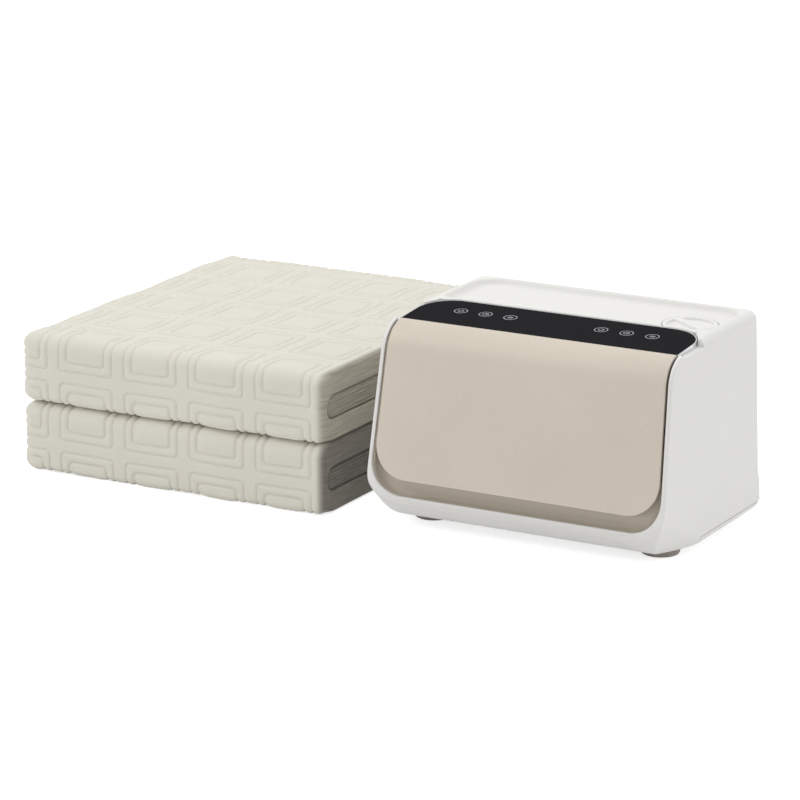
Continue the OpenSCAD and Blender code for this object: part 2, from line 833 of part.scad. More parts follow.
module pump_rotor() {
    color("#4A4A50") in_unit() translate([pump_x, pump_y, 0]) difference() {
        union() {
            translate([0, 0, rotor_z]) cylinder(d = magnet_d, h = head_z - rotor_z);
            translate([0, 0, head_z - 2 + rotor_gap]) cylinder(d = impeller_d, h = 2);
            for (i = [0 : blade_count - 1]) rotate([0, 0, i * 360 / blade_count])
                translate([3, -0.6, head_z]) cube([impeller_d / 2 - 3.4, 1.2, impeller_h - 1]);
            translate([0, 0, head_z]) cylinder(d = 8, h = impeller_h - 1);
        }
        translate([0, 0, 0]) cylinder(d = shaft_d + 0.1, h = big);
    }
}

module pump_head() {
    color("#46464B") in_unit() difference() {
        union() {
            translate([pump_x, pump_y, head_z]) cylinder(d = pump_d, h = head_h - 2);
            translate([pump_x, pump_y, head_z]) cylinder(d = tube_d + 6, h = head_h);
            translate([outlet_x, pump_y - 9, water_z]) rotate([0, 90, 0])
                cylinder(d = tube_d - 0.6, h = 20);
        }
        translate([pump_x, pump_y, head_z - 1])
            cylinder(d = impeller_d + 2 * rotor_gap + 3, h = impeller_h + 1);
        translate([pump_x, pump_y, head_z]) cylinder(d = tube_d, h = 40);
        translate([outlet_x - 1, pump_y - 9, water_z]) rotate([0, 90, 0])
            cylinder(d = tube_bore - 2, h = 26);
    }
}

module tank_outlet_tube() {
    color("#DADFE2") in_unit() translate([pump_x, pump_y, head_z + impeller_h + 2])
        ring(tube_d - 0.1, tube_bore, tank_z + 4 - head_z - impeller_h - 2);
}

module heater_block() {
    color("#B9BCC0") in_unit() difference() {
        translate([heater_x - heater_w / 2, heater_y - heater_l / 2, heater_z])
            cube([heater_w, heater_l, heater_h]);
        for (s = [-1, 1]) translate([heater_x + s * heater_lane, heater_y - heater_l / 2 - 1, water_z])
            rotate([-90, 0, 0]) cylinder(d = tube_d + 0.1, h = heater_l - 8 + 1);
        for (i = [-3 : 3])
            translate([heater_x - heater_w / 2 - 1, heater_y + i * 12 - 1.5, heater_z + heater_h - 4])
                cube([heater_w + 2, 3, 10]);
    }
}

module thermal_cutout() {
    color("#2B2B2E") in_unit() translate([heater_x, heater_y + 6, heater_z + heater_h]) {
        translate([-8, -4, 0]) cube([16, 8, 2]);
        translate([0, 0, 2]) cylinder(d = 7.5, h = 4);
    }
}

module temperature_sensors() {
    color("#E0D9C0") in_unit() for (s = [-1, 1])
        translate([heater_x + s * heater_lane, heater_y - 18, heater_z + heater_h]) {
            cylinder(d = 6, h = 5);
            translate([0, 0, 5]) cylinder(d = 3, h = 3);
        }
}

module pump_heater_tube() {
    color("#DADFE2") in_unit()
        pipe_path([[outlet_x - slack, pump_y - 9, water_z],
                   [-2, pump_y - 9, water_z],
                   [-2, heater_y - heater_l / 2 - 18, water_z],
                   [heater_x + heater_lane, heater_y - heater_l / 2 - 18, water_z],
                   [heater_x + heater_lane, heater_y - heater_l / 2 + 10, water_z]],
                  tube_d, tube_d, tube_bore);
}

module heater_port_tube() {
    color("#DADFE2") in_unit()
        pipe_path([[heater_x - heater_lane, heater_y - heater_l / 2 + 10, water_z],
                   [heater_x - heater_lane, heater_y - heater_l / 2 - 18, water_z],
                   [heater_x - heater_w / 2 - 8, heater_y - heater_l / 2 - 18, water_z],
                   [heater_x - heater_w / 2 - 8, unit_d - 34, water_z],
                   [port_x - port_pitch / 2, unit_d - 34, water_z],
                   [port_x - port_pitch / 2, unit_d - coupling_in + 2, water_z]],
                  8, tube_d, tube_bore);
}

module return_tube() {
    color("#DADFE2") in_unit()
        pipe_path([[port_x + port_pitch / 2, unit_d - coupling_in + 2, water_z],
                   [port_x + port_pitch / 2, return_y, water_z],
                   [port_x + port_pitch / 2, return_y, return_z],
                   [tank_x - tank_w / 2 + 8, return_y, return_z]],
                  8, tube_d, tube_bore);
}

module hose_coupling() {
    color("#5A5A60") in_unit() difference() {
        union() {
            translate([port_x - coupling_w / 2, unit_d - coupling_in, coupling_z - coupling_h / 2])
                cube([coupling_w, coupling_in - 0.6, coupling_h]);
            translate([port_x - coupling_w / 2 - 3, unit_d - wall - 2.5, coupling_z - coupling_h / 2 - 3])
                cube([coupling_w + 6, 2.2, coupling_h + 6]);
        }
        translate([port_x - coupling_w / 2 + 4, unit_d - port_len, coupling_z - coupling_h / 2 + 3])
            cube([coupling_w - 8, port_len + 1, coupling_h - 6 - 9]);
        for (s = [-1, 1]) translate([port_x + s * port_pitch / 2, unit_d - coupling_in - 1, port_z])
            rotate([-90, 0, 0]) cylinder(d = tube_d + 0.1, h = 4);
        button_slot();
    }
    color("#5A5A60") in_unit() for (s = [-1, 1])
        translate([port_x + s * port_pitch / 2, unit_d - port_len - 1, port_z]) rotate([-90, 0, 0])
            hose_port();
}

module hose_port() {
    ring(port_d, port_bore, port_len);
}

// Slot for the release button, above the ports
module button_slot() {
    translate([port_x - button_w / 2 - button_gap, unit_d - button_d - 3,
               coupling_z + coupling_h / 2 - button_h - 2 - button_gap])
        cube([button_w + 2 * button_gap, button_d + 4, button_h + 2 * button_gap]);
}

module release_button() {
    color("#C2452F") in_unit()
        translate([port_x - button_w / 2, unit_d - button_d + 3, coupling_z + coupling_h / 2 - button_h - 2])
            cube([button_w, button_d - 1, button_h]);
}

module button_spring() {
    color(silver) in_unit()
        translate([port_x, unit_d - button_d - 3, coupling_z + coupling_h / 2 - button_h / 2 - 2])
            rotate([-90, 0, 0]) ring(5, 3.4, 3);
}

module mains_inlet() {
    color("#2A2A2C") in_unit() difference() {
        union() {
            translate([inlet_x - inlet_w / 2, unit_d - inlet_in, inlet_z - inlet_h / 2])
                cube([inlet_w, inlet_in - 0.6, inlet_h]);
            translate([inlet_x - inlet_w / 2 - 3, unit_d - wall - 2.5, inlet_z - inlet_h / 2 - 3])
                cube([inlet_w + 6, 2.2, inlet_h + 6]);
        }
        translate([inlet_x - inlet_w / 2 + 2.5, unit_d - 16, inlet_z - inlet_h / 2 + 2.5])
            cube([inlet_w - 5, 20, inlet_h - 5]);
        for (x = [-5, 0, 5]) translate([inlet_x + x, unit_d - inlet_in - 1, inlet_z])
            rotate([-90, 0, 0]) cylinder(d = 2.4, h = 10);
    }
}

module mains_pins() {
    color("#C8B070") in_unit() for (x = [-5, 0, 5])
        translate([inlet_x + x, unit_d - inlet_in - 4, inlet_z]) rotate([-90, 0, 0])
            cylinder(d = 2.4, h = 17);
}

module plate_board(x, y, w, l, z) {
    translate([x - w / 2, y - l / 2, z]) difference() {
        cube([w, l, board_t]);
        for (sx = [5, w - 5], sy = [5, l - 5]) translate([sx, sy, -1]) cylinder(d = 3.2, h = 4);
    }
}

module power_board() {
    color(board_green) in_unit() plate_board(power_x, power_y, power_w, power_l, power_z);
}

module transformer() {
    color("#C9A23A") in_unit() translate([power_x - 18, power_y - 30, power_z + board_t]) {
        cube([32, 28, 6]);
        translate([3, 0, 6]) cube([26, 28, 20]);
    }
}

module capacitors() {
    color("#34323F") in_unit() {
        translate([power_x - 8, power_y + 16, power_z + board_t]) cylinder(d = 18, h = 26);
        for (i = [0 : 2]) translate([power_x + 12, power_y + 6 + i * 13, power_z + board_t])
            cylinder(d = 10, h = 12);
    }
}

module control_board() {
    color(board_green) in_unit()
        translate([control_x, control_y - control_l / 2, control_z]) cube([board_t, control_l, control_h]);
}

module relays() {
    color("#2F5FA8") in_unit() for (i = [0 : 1])
        translate([control_x + board_t, control_y + i * 20, control_z + control_h - 24]) cube([15, 15, 18]);
}

module buzzer() {
    color("#202022") in_unit()
        translate([control_x + board_t, control_y - 24, control_z + control_h - 16]) rotate([0, 90, 0])
            ring(12, 2, 8);
}

module drain_spout() {
    color("#DADFE2") in_unit() {
        pipe_path([[drain_x, drain_in_y, tank_z + 2],
                   [drain_x, drain_in_y, drain_z],
                   [drain_x, unit_d - 12, drain_z]], 8, tube_d, tube_bore);
        translate([drain_x, unit_d - 12, drain_z]) rotate([-90, 0, 0]) difference() {
            union() {
                cylinder(d = drain_d + 8, h = 11);
                translate([0, 0, 12 - wall - 4]) cylinder(d = drain_d + 14, h = 3.6);
            }
            translate([0, 0, -1]) cylinder(d = tube_bore, h = 20);
            translate([0, 0, 3]) cylinder(d = drain_d + 0.2, h = 20);
        }
    }
}

module drain_plug() {
    color("#5A5A60") in_unit() translate([drain_x, unit_d - 8, drain_z]) rotate([-90, 0, 0])
        difference() {
            union() {
                cylinder(d = drain_d, h = 9);
                translate([0, 0, 7.6]) cylinder(d = drain_d + 7, h = 4);
            }
            translate([0, 0, 3]) ring(drain_d + 2, drain_d - 2.6, 2);
            translate([-drain_d, -0.8, 10]) cube([2 * drain_d, 1.6, 4]);
        }
}

module drain_seal() {
    color(rubber_grey) in_unit() translate([drain_x, unit_d - 8 + 3.05, drain_z]) rotate([-90, 0, 0])
        ring(drain_d, drain_d - 2.5, 1.9);
}

module housing_screws() {
    color(silver) in_unit() for (p = concat(front_screws, back_screws)) translate([p.x, p.y, body_z - 1.4]) {
        difference() {
            cylinder(d = 6.4, h = 1.4);
            translate([-2.2, -0.4, -1]) cube([4.4, 0.8, 1.8]);
            translate([-0.4, -2.2, -1]) cube([0.8, 4.4, 1.8]);
        }
        cylinder(d = screw_d, h = 11);
    }
}

module board_screws() {
    color(silver) in_unit() for (p = power_posts) translate([p[0], p[1], power_z + board_t]) {
        cylinder(d = 5.6, h = 1.6);
        translate([0, 0, -7]) cylinder(d = screw_d - 0.2, h = 7.5);
    }
}

// Blanket bundle, in its own coordinates: x runs left from the right end, y runs back

module in_blanket(level) {
    translate([blanket_x + bundle_w, blanket_y, level * (bundle_h + bundle_gap)]) children();
}

// Rounded slab, grown or shrunk on every face but its underside
module slab(g) {
    r = bundle_r + g;
    intersection() {
        rotate([90, 0, 90]) translate([0, 0, -bundle_w - g]) linear_extrude(bundle_w + 2 * g)
            polygon(rounded(-g, 0, bundle_d + g, slab_h + g, r));
        translate([0, 0, -1]) linear_extrude(bundle_h + 2)
            polygon(concat(arc([-bundle_side_r, bundle_side_r], bundle_side_r + g, -90, 0),
                [[g, bundle_d + g]],
                arc([-bundle_w + bundle_r, bundle_d - bundle_r], r, 90, 180),
                arc([-bundle_w + bundle_r, bundle_r], r, 180, 270)));
    }
}

function block_x(i) = -quilt_bar - i * quilt_pitch_x;
function row_y(j) = quilt_first_y + quilt_bar / 2 + (j - 1) * quilt_pitch_y;

// Blocks on the top, the first row running over the front edge
module top_blocks(m, r) {
    for (i = [0 : 4], j = [0 : 4])
        translate([0, 0, fold_mid]) linear_extrude(bundle_h)
            polygon(rounded(max(block_x(i) - quilt_frame_x, -bundle_w - 5) + m,
                j == 0 ? -20 : row_y(j) + m,
                block_x(i) - m,
                j == 0 ? quilt_first_y - quilt_bar / 2 - m
                       : min(row_y(j) + quilt_frame_y, bundle_d + 5) - m, r, pad_steps));
}

// Blocks on the front and back faces, above and below the middle bar
module face_blocks(m, r) {
    for (i = [0 : 4], up = [0, 1])
        along_y(-30, bundle_d + 30)
            polygon(rounded(max(block_x(i) - quilt_frame_x, -bundle_w - 5) + m,
                up == 1 ? slab_h - front_band_low + m : -20,
                block_x(i) - m,
                up == 1 ? bundle_h + 20 : slab_h - front_band_next - m, r, pad_steps));
}

// Slab with sunk bands and raised pads
module quilted_slab() {
    union() {
        difference() {
            slab(0);
            difference() {
                intersection() {
                    top_blocks(0, pad_r);
                    face_or_top(0);
                }
                slab(-band_sink);
            }
            difference() {
                intersection() {
                    face_blocks(0, pad_r);
                    front_zone();
                }
                slab(-band_sink);
            }
        }
        intersection() {
            slab(pad_rise);
            top_blocks(quilt_band, pad_r);
            face_or_top(quilt_band);
        }
        intersection() {
            slab(pad_rise);
            face_blocks(quilt_band, pad_r);
            front_zone();
        }
    }
}

// Space above the lower edge of the blocks that run over the front edge
module face_or_top(m) {
    translate([-bundle_w - 20, -20, slab_h - front_band_low + m]) cube([bundle_w + 40, bundle_d + 40, 60]);
}

// Space in front of the top's first bar and behind its last one
module front_zone() {
    translate([-bundle_w - 20, -20, 0]) cube([bundle_w + 40, 20 + bundle_r - 2, slab_h - front_band_next]);
}

// The water tube's path through a bundle, at a given diameter
module line_path(d, bore) {
    for (k = [0 : line_runs - 1]) {
        x = line_x(k);
        outer = k == 0 || k == line_runs - 1;
        pipe_piece([x, nose_y, line_top], [x, outer ? feed_y - feed_bend : turn_y, line_top], d, bore);
        pipe_piece([x, nose_y, line_low], [x, turn_y, line_low], d, bore);
        pipe_bend([x, nose_y, fold_mid], [0, -1, 0], [0, 0, -1], line_arc, d, bore, 180);
    }
    for (k = [0 : 2 : line_runs - 2])
        pipe_bend([(line_x(k) + line_x(k + 1)) / 2, turn_y, line_low],
                  [0, 1, 0], [-1, 0, 0], line_pitch / 2, d, bore, 180);
    for (k = [1 : 2 : line_runs - 3])
        pipe_bend([(line_x(k) + line_x(k + 1)) / 2, turn_y, line_top],
                  [0, 1, 0], [-1, 0, 0], line_pitch / 2, d, bore, 180);
    for (s = [-1, 1]) {
        x = line_mid_x + s * (line_runs - 1) * line_pitch / 2;
        pipe_bend([x - s * feed_bend, feed_y - feed_bend, line_top], [0, 1, 0], [-s, 0, 0],
                  feed_bend, d, bore);
        pipe_piece([x - s * feed_bend, feed_y, line_top],
                   [line_mid_x + s * (manifold_w / 2 - 3), feed_y, line_top], d, bore);
    }
}

function line_x(k) = line_mid_x + ((line_runs - 1) / 2 - k) * line_pitch;

module fold_form(g) {
    translate([-bundle_w + fold_left - g, 0, 0]) rotate([90, 0, 90])
        linear_extrude(bundle_w - fold_left + g + (g > 0 ? 10 : -1)) {
            translate([nose_y, fold_mid]) circle(d = fold_t + 2 * g);
            translate([nose_y, fold_mid - fold_t / 2 - g])
                square([bundle_d - nose_y - (g > 0 ? -10 : 4), fold_t + 2 * g]);
        }
}

module manifold_pocket() {
    translate([line_mid_x - manifold_w / 2 - slack, feed_y - manifold_d / 2 - slack,
               line_top - manifold_h / 2 - slack])
        cube([manifold_w + 2 * slack, 60, manifold_h + 2 * slack]);
}

module quilt(level) {
    color(cream) in_blanket(level) difference() {
        quilted_slab();
        fold_form(fold_gap);
        line_path(line_d + 2 * slack, 0);
        manifold_pocket();
    }
}

module inner_fold(level) {
    color(cream_dark) in_blanket(level) difference() {
        fold_form(0);
        translate([line_mid_x - manifold_w / 2 - 1, feed_y - manifold_d / 2 - 1, fold_mid + 1])
            cube([manifold_w + 2, 60, fold_t]);
    }
}

module water_tube(level) {
    color("#DADFE2") in_blanket(level) line_path(line_d, line_d - 1.6);
}

module manifold(level) {
    color("#8C8C90") in_blanket(level) difference() {
        union() {
            translate([line_mid_x - manifold_w / 2, feed_y - manifold_d / 2, line_top - manifold_h / 2])
                cube([manifold_w, manifold_d, manifold_h]);
            for (s = [-1, 1]) translate([line_mid_x + s * 11, feed_y + manifold_d / 2 - 1, line_top])
                rotate([-90, 0, 0]) cylinder(d = nipple_d, h = nipple_len);
        }
        for (s = [-1, 1]) {
            translate([line_mid_x + s * 11, feed_y - 3, line_top]) rotate([-90, 0, 0])
                cylinder(d = nipple_bore, h = 40);
            translate([line_mid_x + s * (manifold_w / 2 - 12), feed_y, line_top])
                rotate([0, s * 90, 0]) cylinder(d = line_d + 0.1, h = 20);
        }
    }
}

module upper_quilt() { quilt(1); }
module upper_inner_fold() { inner_fold(1); }
module upper_water_tube() { water_tube(1); }
module upper_manifold() { manifold(1); }
module lower_quilt() { quilt(0); }
module lower_inner_fold() { inner_fold(0); }
module lower_water_tube() { water_tube(0); }
module lower_manifold() { manifold(0); }

housing_shell();
base_cover();
rubber_feet();
front_panel();
recess_liner();
touch_glass();
glass_frame();
touch_board();
touch_springs();
fill_cap();
cap_gasket();
filler_neck();
strainer_basket();
tank_body();
tank_lid();
level_float();
float_stem();
pump_body();
pump_head();
pump_rotor();
pump_shaft();
pump_winding();
pump_damper();
heater_block();
thermal_cutout();
temperature_sensors();
tank_outlet_tube();
pump_heater_tube();
heater_port_tube();
return_tube();
hose_coupling();
release_button();
button_spring();
mains_inlet();
mains_pins();
power_board();
transformer();
capacitors();
control_board();
relays();
buzzer();
drain_spout();
drain_plug();
drain_seal();
housing_screws();
board_screws();
upper_quilt();
upper_inner_fold();
upper_water_tube();
upper_manifold();
lower_quilt();
lower_inner_fold();
lower_water_tube();
lower_manifold();
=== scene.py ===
"""Looks of a heated water blanket: two quilted bundles and the unit that heats their water."""

import json
import logging
import math
from dataclasses import dataclass
from enum import Enum
from typing import Callable

import bmesh
import bpy
import numpy as np
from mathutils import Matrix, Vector


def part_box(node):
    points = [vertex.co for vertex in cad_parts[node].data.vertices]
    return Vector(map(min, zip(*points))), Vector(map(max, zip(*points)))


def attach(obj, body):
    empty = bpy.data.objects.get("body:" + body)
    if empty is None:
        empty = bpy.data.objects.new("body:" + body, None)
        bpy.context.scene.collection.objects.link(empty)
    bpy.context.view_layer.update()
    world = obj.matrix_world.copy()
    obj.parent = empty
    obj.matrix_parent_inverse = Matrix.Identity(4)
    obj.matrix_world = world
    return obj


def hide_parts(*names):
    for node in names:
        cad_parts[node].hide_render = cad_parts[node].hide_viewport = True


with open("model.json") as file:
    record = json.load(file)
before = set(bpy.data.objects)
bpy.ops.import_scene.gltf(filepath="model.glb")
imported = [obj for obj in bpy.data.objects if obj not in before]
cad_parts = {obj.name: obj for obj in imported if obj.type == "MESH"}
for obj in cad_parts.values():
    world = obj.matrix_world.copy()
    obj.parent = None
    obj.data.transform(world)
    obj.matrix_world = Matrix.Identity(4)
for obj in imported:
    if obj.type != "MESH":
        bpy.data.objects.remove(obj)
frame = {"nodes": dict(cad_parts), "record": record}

LOG = logging.getLogger("water_blanket")
Array = np.ndarray
Form = Callable[[Array, Array, Array], Array]
Colour = tuple[float, float, float]
Place = tuple[float, float, float]
Span = tuple[float, float]
Stops = tuple[tuple[float, float], ...]


def smoothstep(value: Array, low: float, high: float) -> Array:
    """Rises smoothly from 0 at low to 1 at high."""
    t = np.clip((value - low) / (high - low), 0.0, 1.0)
    return t * t * (3.0 - 2.0 * t)


def join_round(a: Array, b: Array, radius: Array | float) -> Array:
    """Distance to what two forms share, with the edge between them rounded.

    Args:
        a: Distance to the first form, negative inside.
        b: Distance to the second form, negative inside.
        radius: Radius of the edge, in metres.

    Returns:
        The distance to the rounded form.
    """
    reach = np.hypot(np.maximum(a + radius, 0.0), np.maximum(b + radius, 0.0))
    return np.minimum(-radius, np.maximum(a, b)) + reach


def cut_round(form: Array, cutter: Array, radius: float) -> Array:
    """Distance to a form with a cutter taken out, the new edge rounded."""
    return join_round(form, -cutter, radius)


def arc(centre: tuple[float, float], radius: float, start: float, end: float, steps: int = 20) -> Array:
    """Points along an arc, from one angle to another in degrees."""
    turn = np.radians(np.linspace(start, end, steps + 1))
    return np.stack([centre[0] + radius * np.cos(turn), centre[1] + radius * np.sin(turn)], axis=1)


def convex_distance(points: Array, u: Array, v: Array) -> Array:
    """Distance to a convex outline, negative inside.

    Args:
        points: Corners of the outline, in either turning direction.
        u: First coordinate of the places asked for.
        v: Second coordinate of the places asked for.

    Returns:
        The distance at each place.
    """
    area = np.sum(points[:, 0] * np.roll(points[:, 1], -1) - np.roll(points[:, 0], -1) * points[:, 1])
    side = 1.0 if area > 0 else -1.0
    best = None
    for here, there in zip(points, np.roll(points, -1, axis=0)):
        run = there - here
        length = math.hypot(*run)
        if length < 1e-9:
            continue
        normal = side * np.array([run[1], -run[0]]) / length
        distance = (u - here[0]) * normal[0] + (v - here[1]) * normal[1]
        best = distance if best is None else np.maximum(best, distance)
    return best


def grid_unit() -> float:
    return 0.001 * 1.0


def graded(stops: Stops, unit: float) -> Array:
    """Grid lines along one axis.

    Args:
        stops: Places in metres, in rising order, each with the spacing up to the next one.
        unit: Length that the spacing counts in.

    Returns:
        The places of the grid lines.
    """
    lines = [np.array([stops[0][0]])]
    for (low, step), (high, _) in zip(stops, stops[1:]):
        lines.append(np.linspace(low, high, max(1, round((high - low) / (step * unit))) + 1)[1:])
    return np.concatenate(lines)


def both_sides(stops: Stops) -> Stops:
    """Stops from the middle outwards, repeated on the negative side."""
    left = tuple((-high, step) for (_, step), (high, _) in zip(stops, stops[1:]))[::-1]
    return left + stops


def bell(distance: Array, place: float, width: float) -> Array:
    """1 at a place inwards of an outline, falling off smoothly over a width."""
    return np.exp(-((distance + place) / width) ** 2)


class Skin:
    """Closed mesh over a form that is given by its distance, on a graded grid."""

    slope_reach = 4e-5
    settle_rounds = 4
    settle_limit = 0.0008
    least_slope = 0.2

    def __init__(self, form: Form, x: Array, y: Array, z: Array) -> None:
        """Finds the cells that the surface runs through and places one point in each.

        Args:
            form: Distance function, negative inside.
            x: Grid lines along X.
            y: Grid lines along Y.
            z: Grid lines along Z.
        """
        self.form = form
        self.lines = (x, y, z)
        shape = (len(x), len(y), len(z))
        self.depth = np.broadcast_to(
            form(x[:, None, None], y[None, :, None], z[None, None, :]), shape
        ).astype(np.float32)
        self.inside = self.depth < 0
        self.points, self.index = self._cell_points()
        self.quads = self._quads()
        self._settle()

    def _cell_points(self) -> tuple[Array, Array]:
        """Places a point at the middle of each cell's crossings."""
        nx, ny, nz = (n - 1 for n in self.inside.shape)
        count = np.zeros((nx, ny, nz), np.int8)
        for i in (0, 1):
            for j in (0, 1):
                for k in (0, 1):
                    count += self.inside[i:nx + i, j:ny + j, k:nz + k]
        cells = np.argwhere((count > 0) & (count < 8))
        index = np.full((nx, ny, nz), -1, np.int32)
        index[tuple(cells.T)] = np.arange(len(cells))
        total = np.zeros((len(cells), 3))
        hits = np.zeros(len(cells))
        for axis in range(3):
            others = [a for a in range(3) if a != axis]
            for p in (0, 1):
                for q in (0, 1):
                    low = cells.copy()
                    low[:, others[0]] += p
                    low[:, others[1]] += q
                    high = low.copy()
                    high[:, axis] += 1
                    d0 = self.depth[tuple(low.T)].astype(float)
                    d1 = self.depth[tuple(high.T)].astype(float)
                    hit = (d0 < 0) != (d1 < 0)
                    t = np.where(hit, d0 / np.where(hit, d0 - d1, 1.0), 0.0)
                    place = [self.lines[a][low[:, a]] for a in range(3)]
                    place[axis] = place[axis] + t * (self.lines[axis][high[:, axis]] - place[axis])
                    total += np.where(hit[:, None], np.stack(place, axis=1), 0.0)
                    hits += hit
        return total / hits[:, None], index

    def _quads(self) -> Array:
        """Joins the points of the four cells round each crossed grid edge."""
        faces = []
        for axis in range(3):
            u, v = (axis + 1) % 3, (axis + 2) % 3
            low = [slice(None)] * 3
            high = [slice(None)] * 3
            low[axis], high[axis] = slice(0, -1), slice(1, None)
            for a in (u, v):
                low[a] = high[a] = slice(1, -1)
            first = self.inside[tuple(low)]
            crossed = np.argwhere(first != self.inside[tuple(high)])
            leaving = first[tuple(crossed.T)]
            corners = []
            for du, dv in ((0, 0), (1, 0), (1, 1), (0, 1)):
                cell = crossed.copy()
                cell[:, u] += du
                cell[:, v] += dv
                corners.append(self.index[tuple(cell.T)])
            quad = np.stack(corners, axis=1)
            faces.append(np.where(leaving[:, None], quad, quad[:, ::-1]))
        return np.concatenate(faces)

    def slope(self, points: Array) -> Array:
        """Gradient of the form's distance at some points."""
        reach = self.slope_reach
        columns = []
        for axis in range(3):
            shift = np.zeros(3)
            shift[axis] = reach
            ahead, behind = points + shift, points - shift
            columns.append((self.form(*ahead.T) - self.form(*behind.T)) / (2 * reach))
        return np.stack(columns, axis=1)

    def _settle(self) -> None:
        """Moves every point onto the surface, in a few rounds of limited steps."""
        for _ in range(self.settle_rounds):
            depth = self.form(*self.points.T)
            slope = self.slope(self.points)
            steep = np.maximum((slope**2).sum(axis=1), self.least_slope)
            step = depth[:, None] * slope / steep[:, None]
            self.points -= np.clip(step, -self.settle_limit, self.settle_limit)

    def build(self, name: str, origin: Vector, most: int | None = None) -> bpy.types.Object:
        """Makes the mesh object.

        Args:
            name: Name of the piece.
            origin: Where the form's own origin stands among the solids.
            most: Number of triangles that may stay, flat stretches going first; None keeps all.

        Returns:
            The piece, smooth all over.
        """
        made = mesh_piece(name, self.points + np.array(origin), self.quads)
        keep = 1.0 if most is None else most / (2 * len(self.quads))
        if keep < 1.0:
            thin = made.modifiers.new("thin", "DECIMATE")
            thin.ratio = keep
            bake_modifiers(made)
        points = np.zeros(len(made.data.vertices) * 3, np.float32)
        made.data.vertices.foreach_get("co", points)
        slope = self.slope(points.reshape(-1, 3).astype(float) - np.array(origin))
        normals = slope / np.maximum(np.linalg.norm(slope, axis=1), 1e-9)[:, None]
        made.data.shade_smooth()
        made.data.normals_split_custom_set_from_vertices(normals.astype(np.float32))
        return made


def mesh_piece(name: str, points: Array, faces: Array) -> bpy.types.Object:
    """Makes an object from points and faces of one size, in metres."""
    mesh = bpy.data.meshes.new(name)
    mesh.vertices.add(len(points))
    mesh.vertices.foreach_set("co", np.asarray(points, np.float32).ravel())
    mesh.loops.add(faces.size)
    mesh.loops.foreach_set("vertex_index", np.asarray(faces, np.int32).ravel())
    mesh.polygons.add(len(faces))
    mesh.polygons.foreach_set("loop_start", np.arange(0, faces.size, faces.shape[1], dtype=np.int32))
    mesh.update(calc_edges=True)
    mesh.validate()
    made = bpy.data.objects.new(name, mesh)
    bpy.context.scene.collection.objects.link(made)
    return made


def bake_modifiers(piece: bpy.types.Object) -> None:
    """Turns a piece's modifiers into its plain mesh."""
    graph = bpy.context.evaluated_depsgraph_get()
    baked = bpy.data.meshes.new_from_object(piece.evaluated_get(graph))
    piece.modifiers.clear()
    piece.data = baked


def grid_faces(rows: int, columns: int, start: int = 0, flip: bool = False) -> list[tuple[int, ...]]:
    """Quads over a grid of points that is stored row by row."""
    faces = []
    for j in range(rows - 1):
        for i in range(columns - 1):
            a = start + j * columns + i
            quad = (a, a + 1, a + columns + 1, a + columns)
            faces.append(quad[::-1] if flip else quad)
    return faces


def rim_order(rows: int, columns: int) -> list[int]:
    """Numbers of a grid's outer points, once round."""
    bottom = list(range(columns))
    right = [j * columns + columns - 1 for j in range(1, rows)]
    top = [(rows - 1) * columns + i for i in range(columns - 2, -1, -1)]
    left = [j * columns for j in range(rows - 2, 0, -1)]
    return bottom + right + top + left


class Plate:
    """Thin plate with rounded edges that lies along a curved or tilted face."""

    edge_steps = 4
    back_share = 0.25
    crease = 40.0

    def __init__(self, grid: Callable[[float], Array], place: Callable[[Array, float], Array],
                 thickness: float, edge: float) -> None:
        """Stores the plate's rule.

        Args:
            grid: Gives the plate's rows of flat points for a distance in from its outline.
            place: Puts flat points at a depth below the face into the unit's own frame.
            thickness: Thickness of the plate.
            edge: Radius of its outer edge.
        """
        self.grid = grid
        self.place = place
        self.thickness = thickness
        self.edge = edge

    def build(self, name: str, origin: Vector) -> bpy.types.Object:
        """Makes the plate's mesh, with its front face first."""
        back_edge = self.back_share * self.edge
        loops = []
        for degrees in np.linspace(0, 90, self.edge_steps + 1)[1:]:
            a = math.radians(degrees)
            loops.append((self.edge * (1 - math.sin(a)), self.edge * (1 - math.cos(a))))
        loops += [(0.0, self.thickness - back_edge), (back_edge, self.thickness)]
        front = self.grid(self.edge)
        rows, columns = front.shape[:2]
        rim = rim_order(rows, columns)
        points = [self.place(front.reshape(-1, 2), 0.0)]
        faces = grid_faces(rows, columns)
        last = rim
        for inset, depth in loops[:-1]:
            ring = self.grid(inset).reshape(-1, 2)[rim]
            start = sum(len(p) for p in points)
            points.append(self.place(ring, depth))
            fresh = list(range(start, start + len(rim)))
            faces += [(last[i - 1], fresh[i - 1], fresh[i], last[i]) for i in range(len(rim))]
            last = fresh
        start = sum(len(p) for p in points)
        points.append(self.place(self.grid(back_edge).reshape(-1, 2), self.thickness))
        faces += grid_faces(rows, columns, start, flip=True)
        fresh = [start + n for n in rim]
        faces += [(last[i - 1], fresh[i - 1], fresh[i], last[i]) for i in range(len(rim))]
        made = mesh_piece(name, np.concatenate(points) + np.array(origin), np.array(faces))
        face_outwards(made)
        smooth_by_angle(made, self.crease)
        return made


def face_outwards(piece: bpy.types.Object) -> None:
    """Closes doubled points and turns all faces of a closed mesh outwards."""
    work = bmesh.new()
    work.from_mesh(piece.data)
    bmesh.ops.remove_doubles(work, verts=work.verts, dist=1e-6)
    bmesh.ops.recalc_face_normals(work, faces=work.faces)
    work.to_mesh(piece.data)
    work.free()


def smooth_by_angle(piece: bpy.types.Object, degrees: float) -> None:
    """Shades a piece smooth, except at edges sharper than an angle."""
    piece.data.shade_smooth()
    piece.data.set_sharp_from_angle(angle=math.radians(degrees))


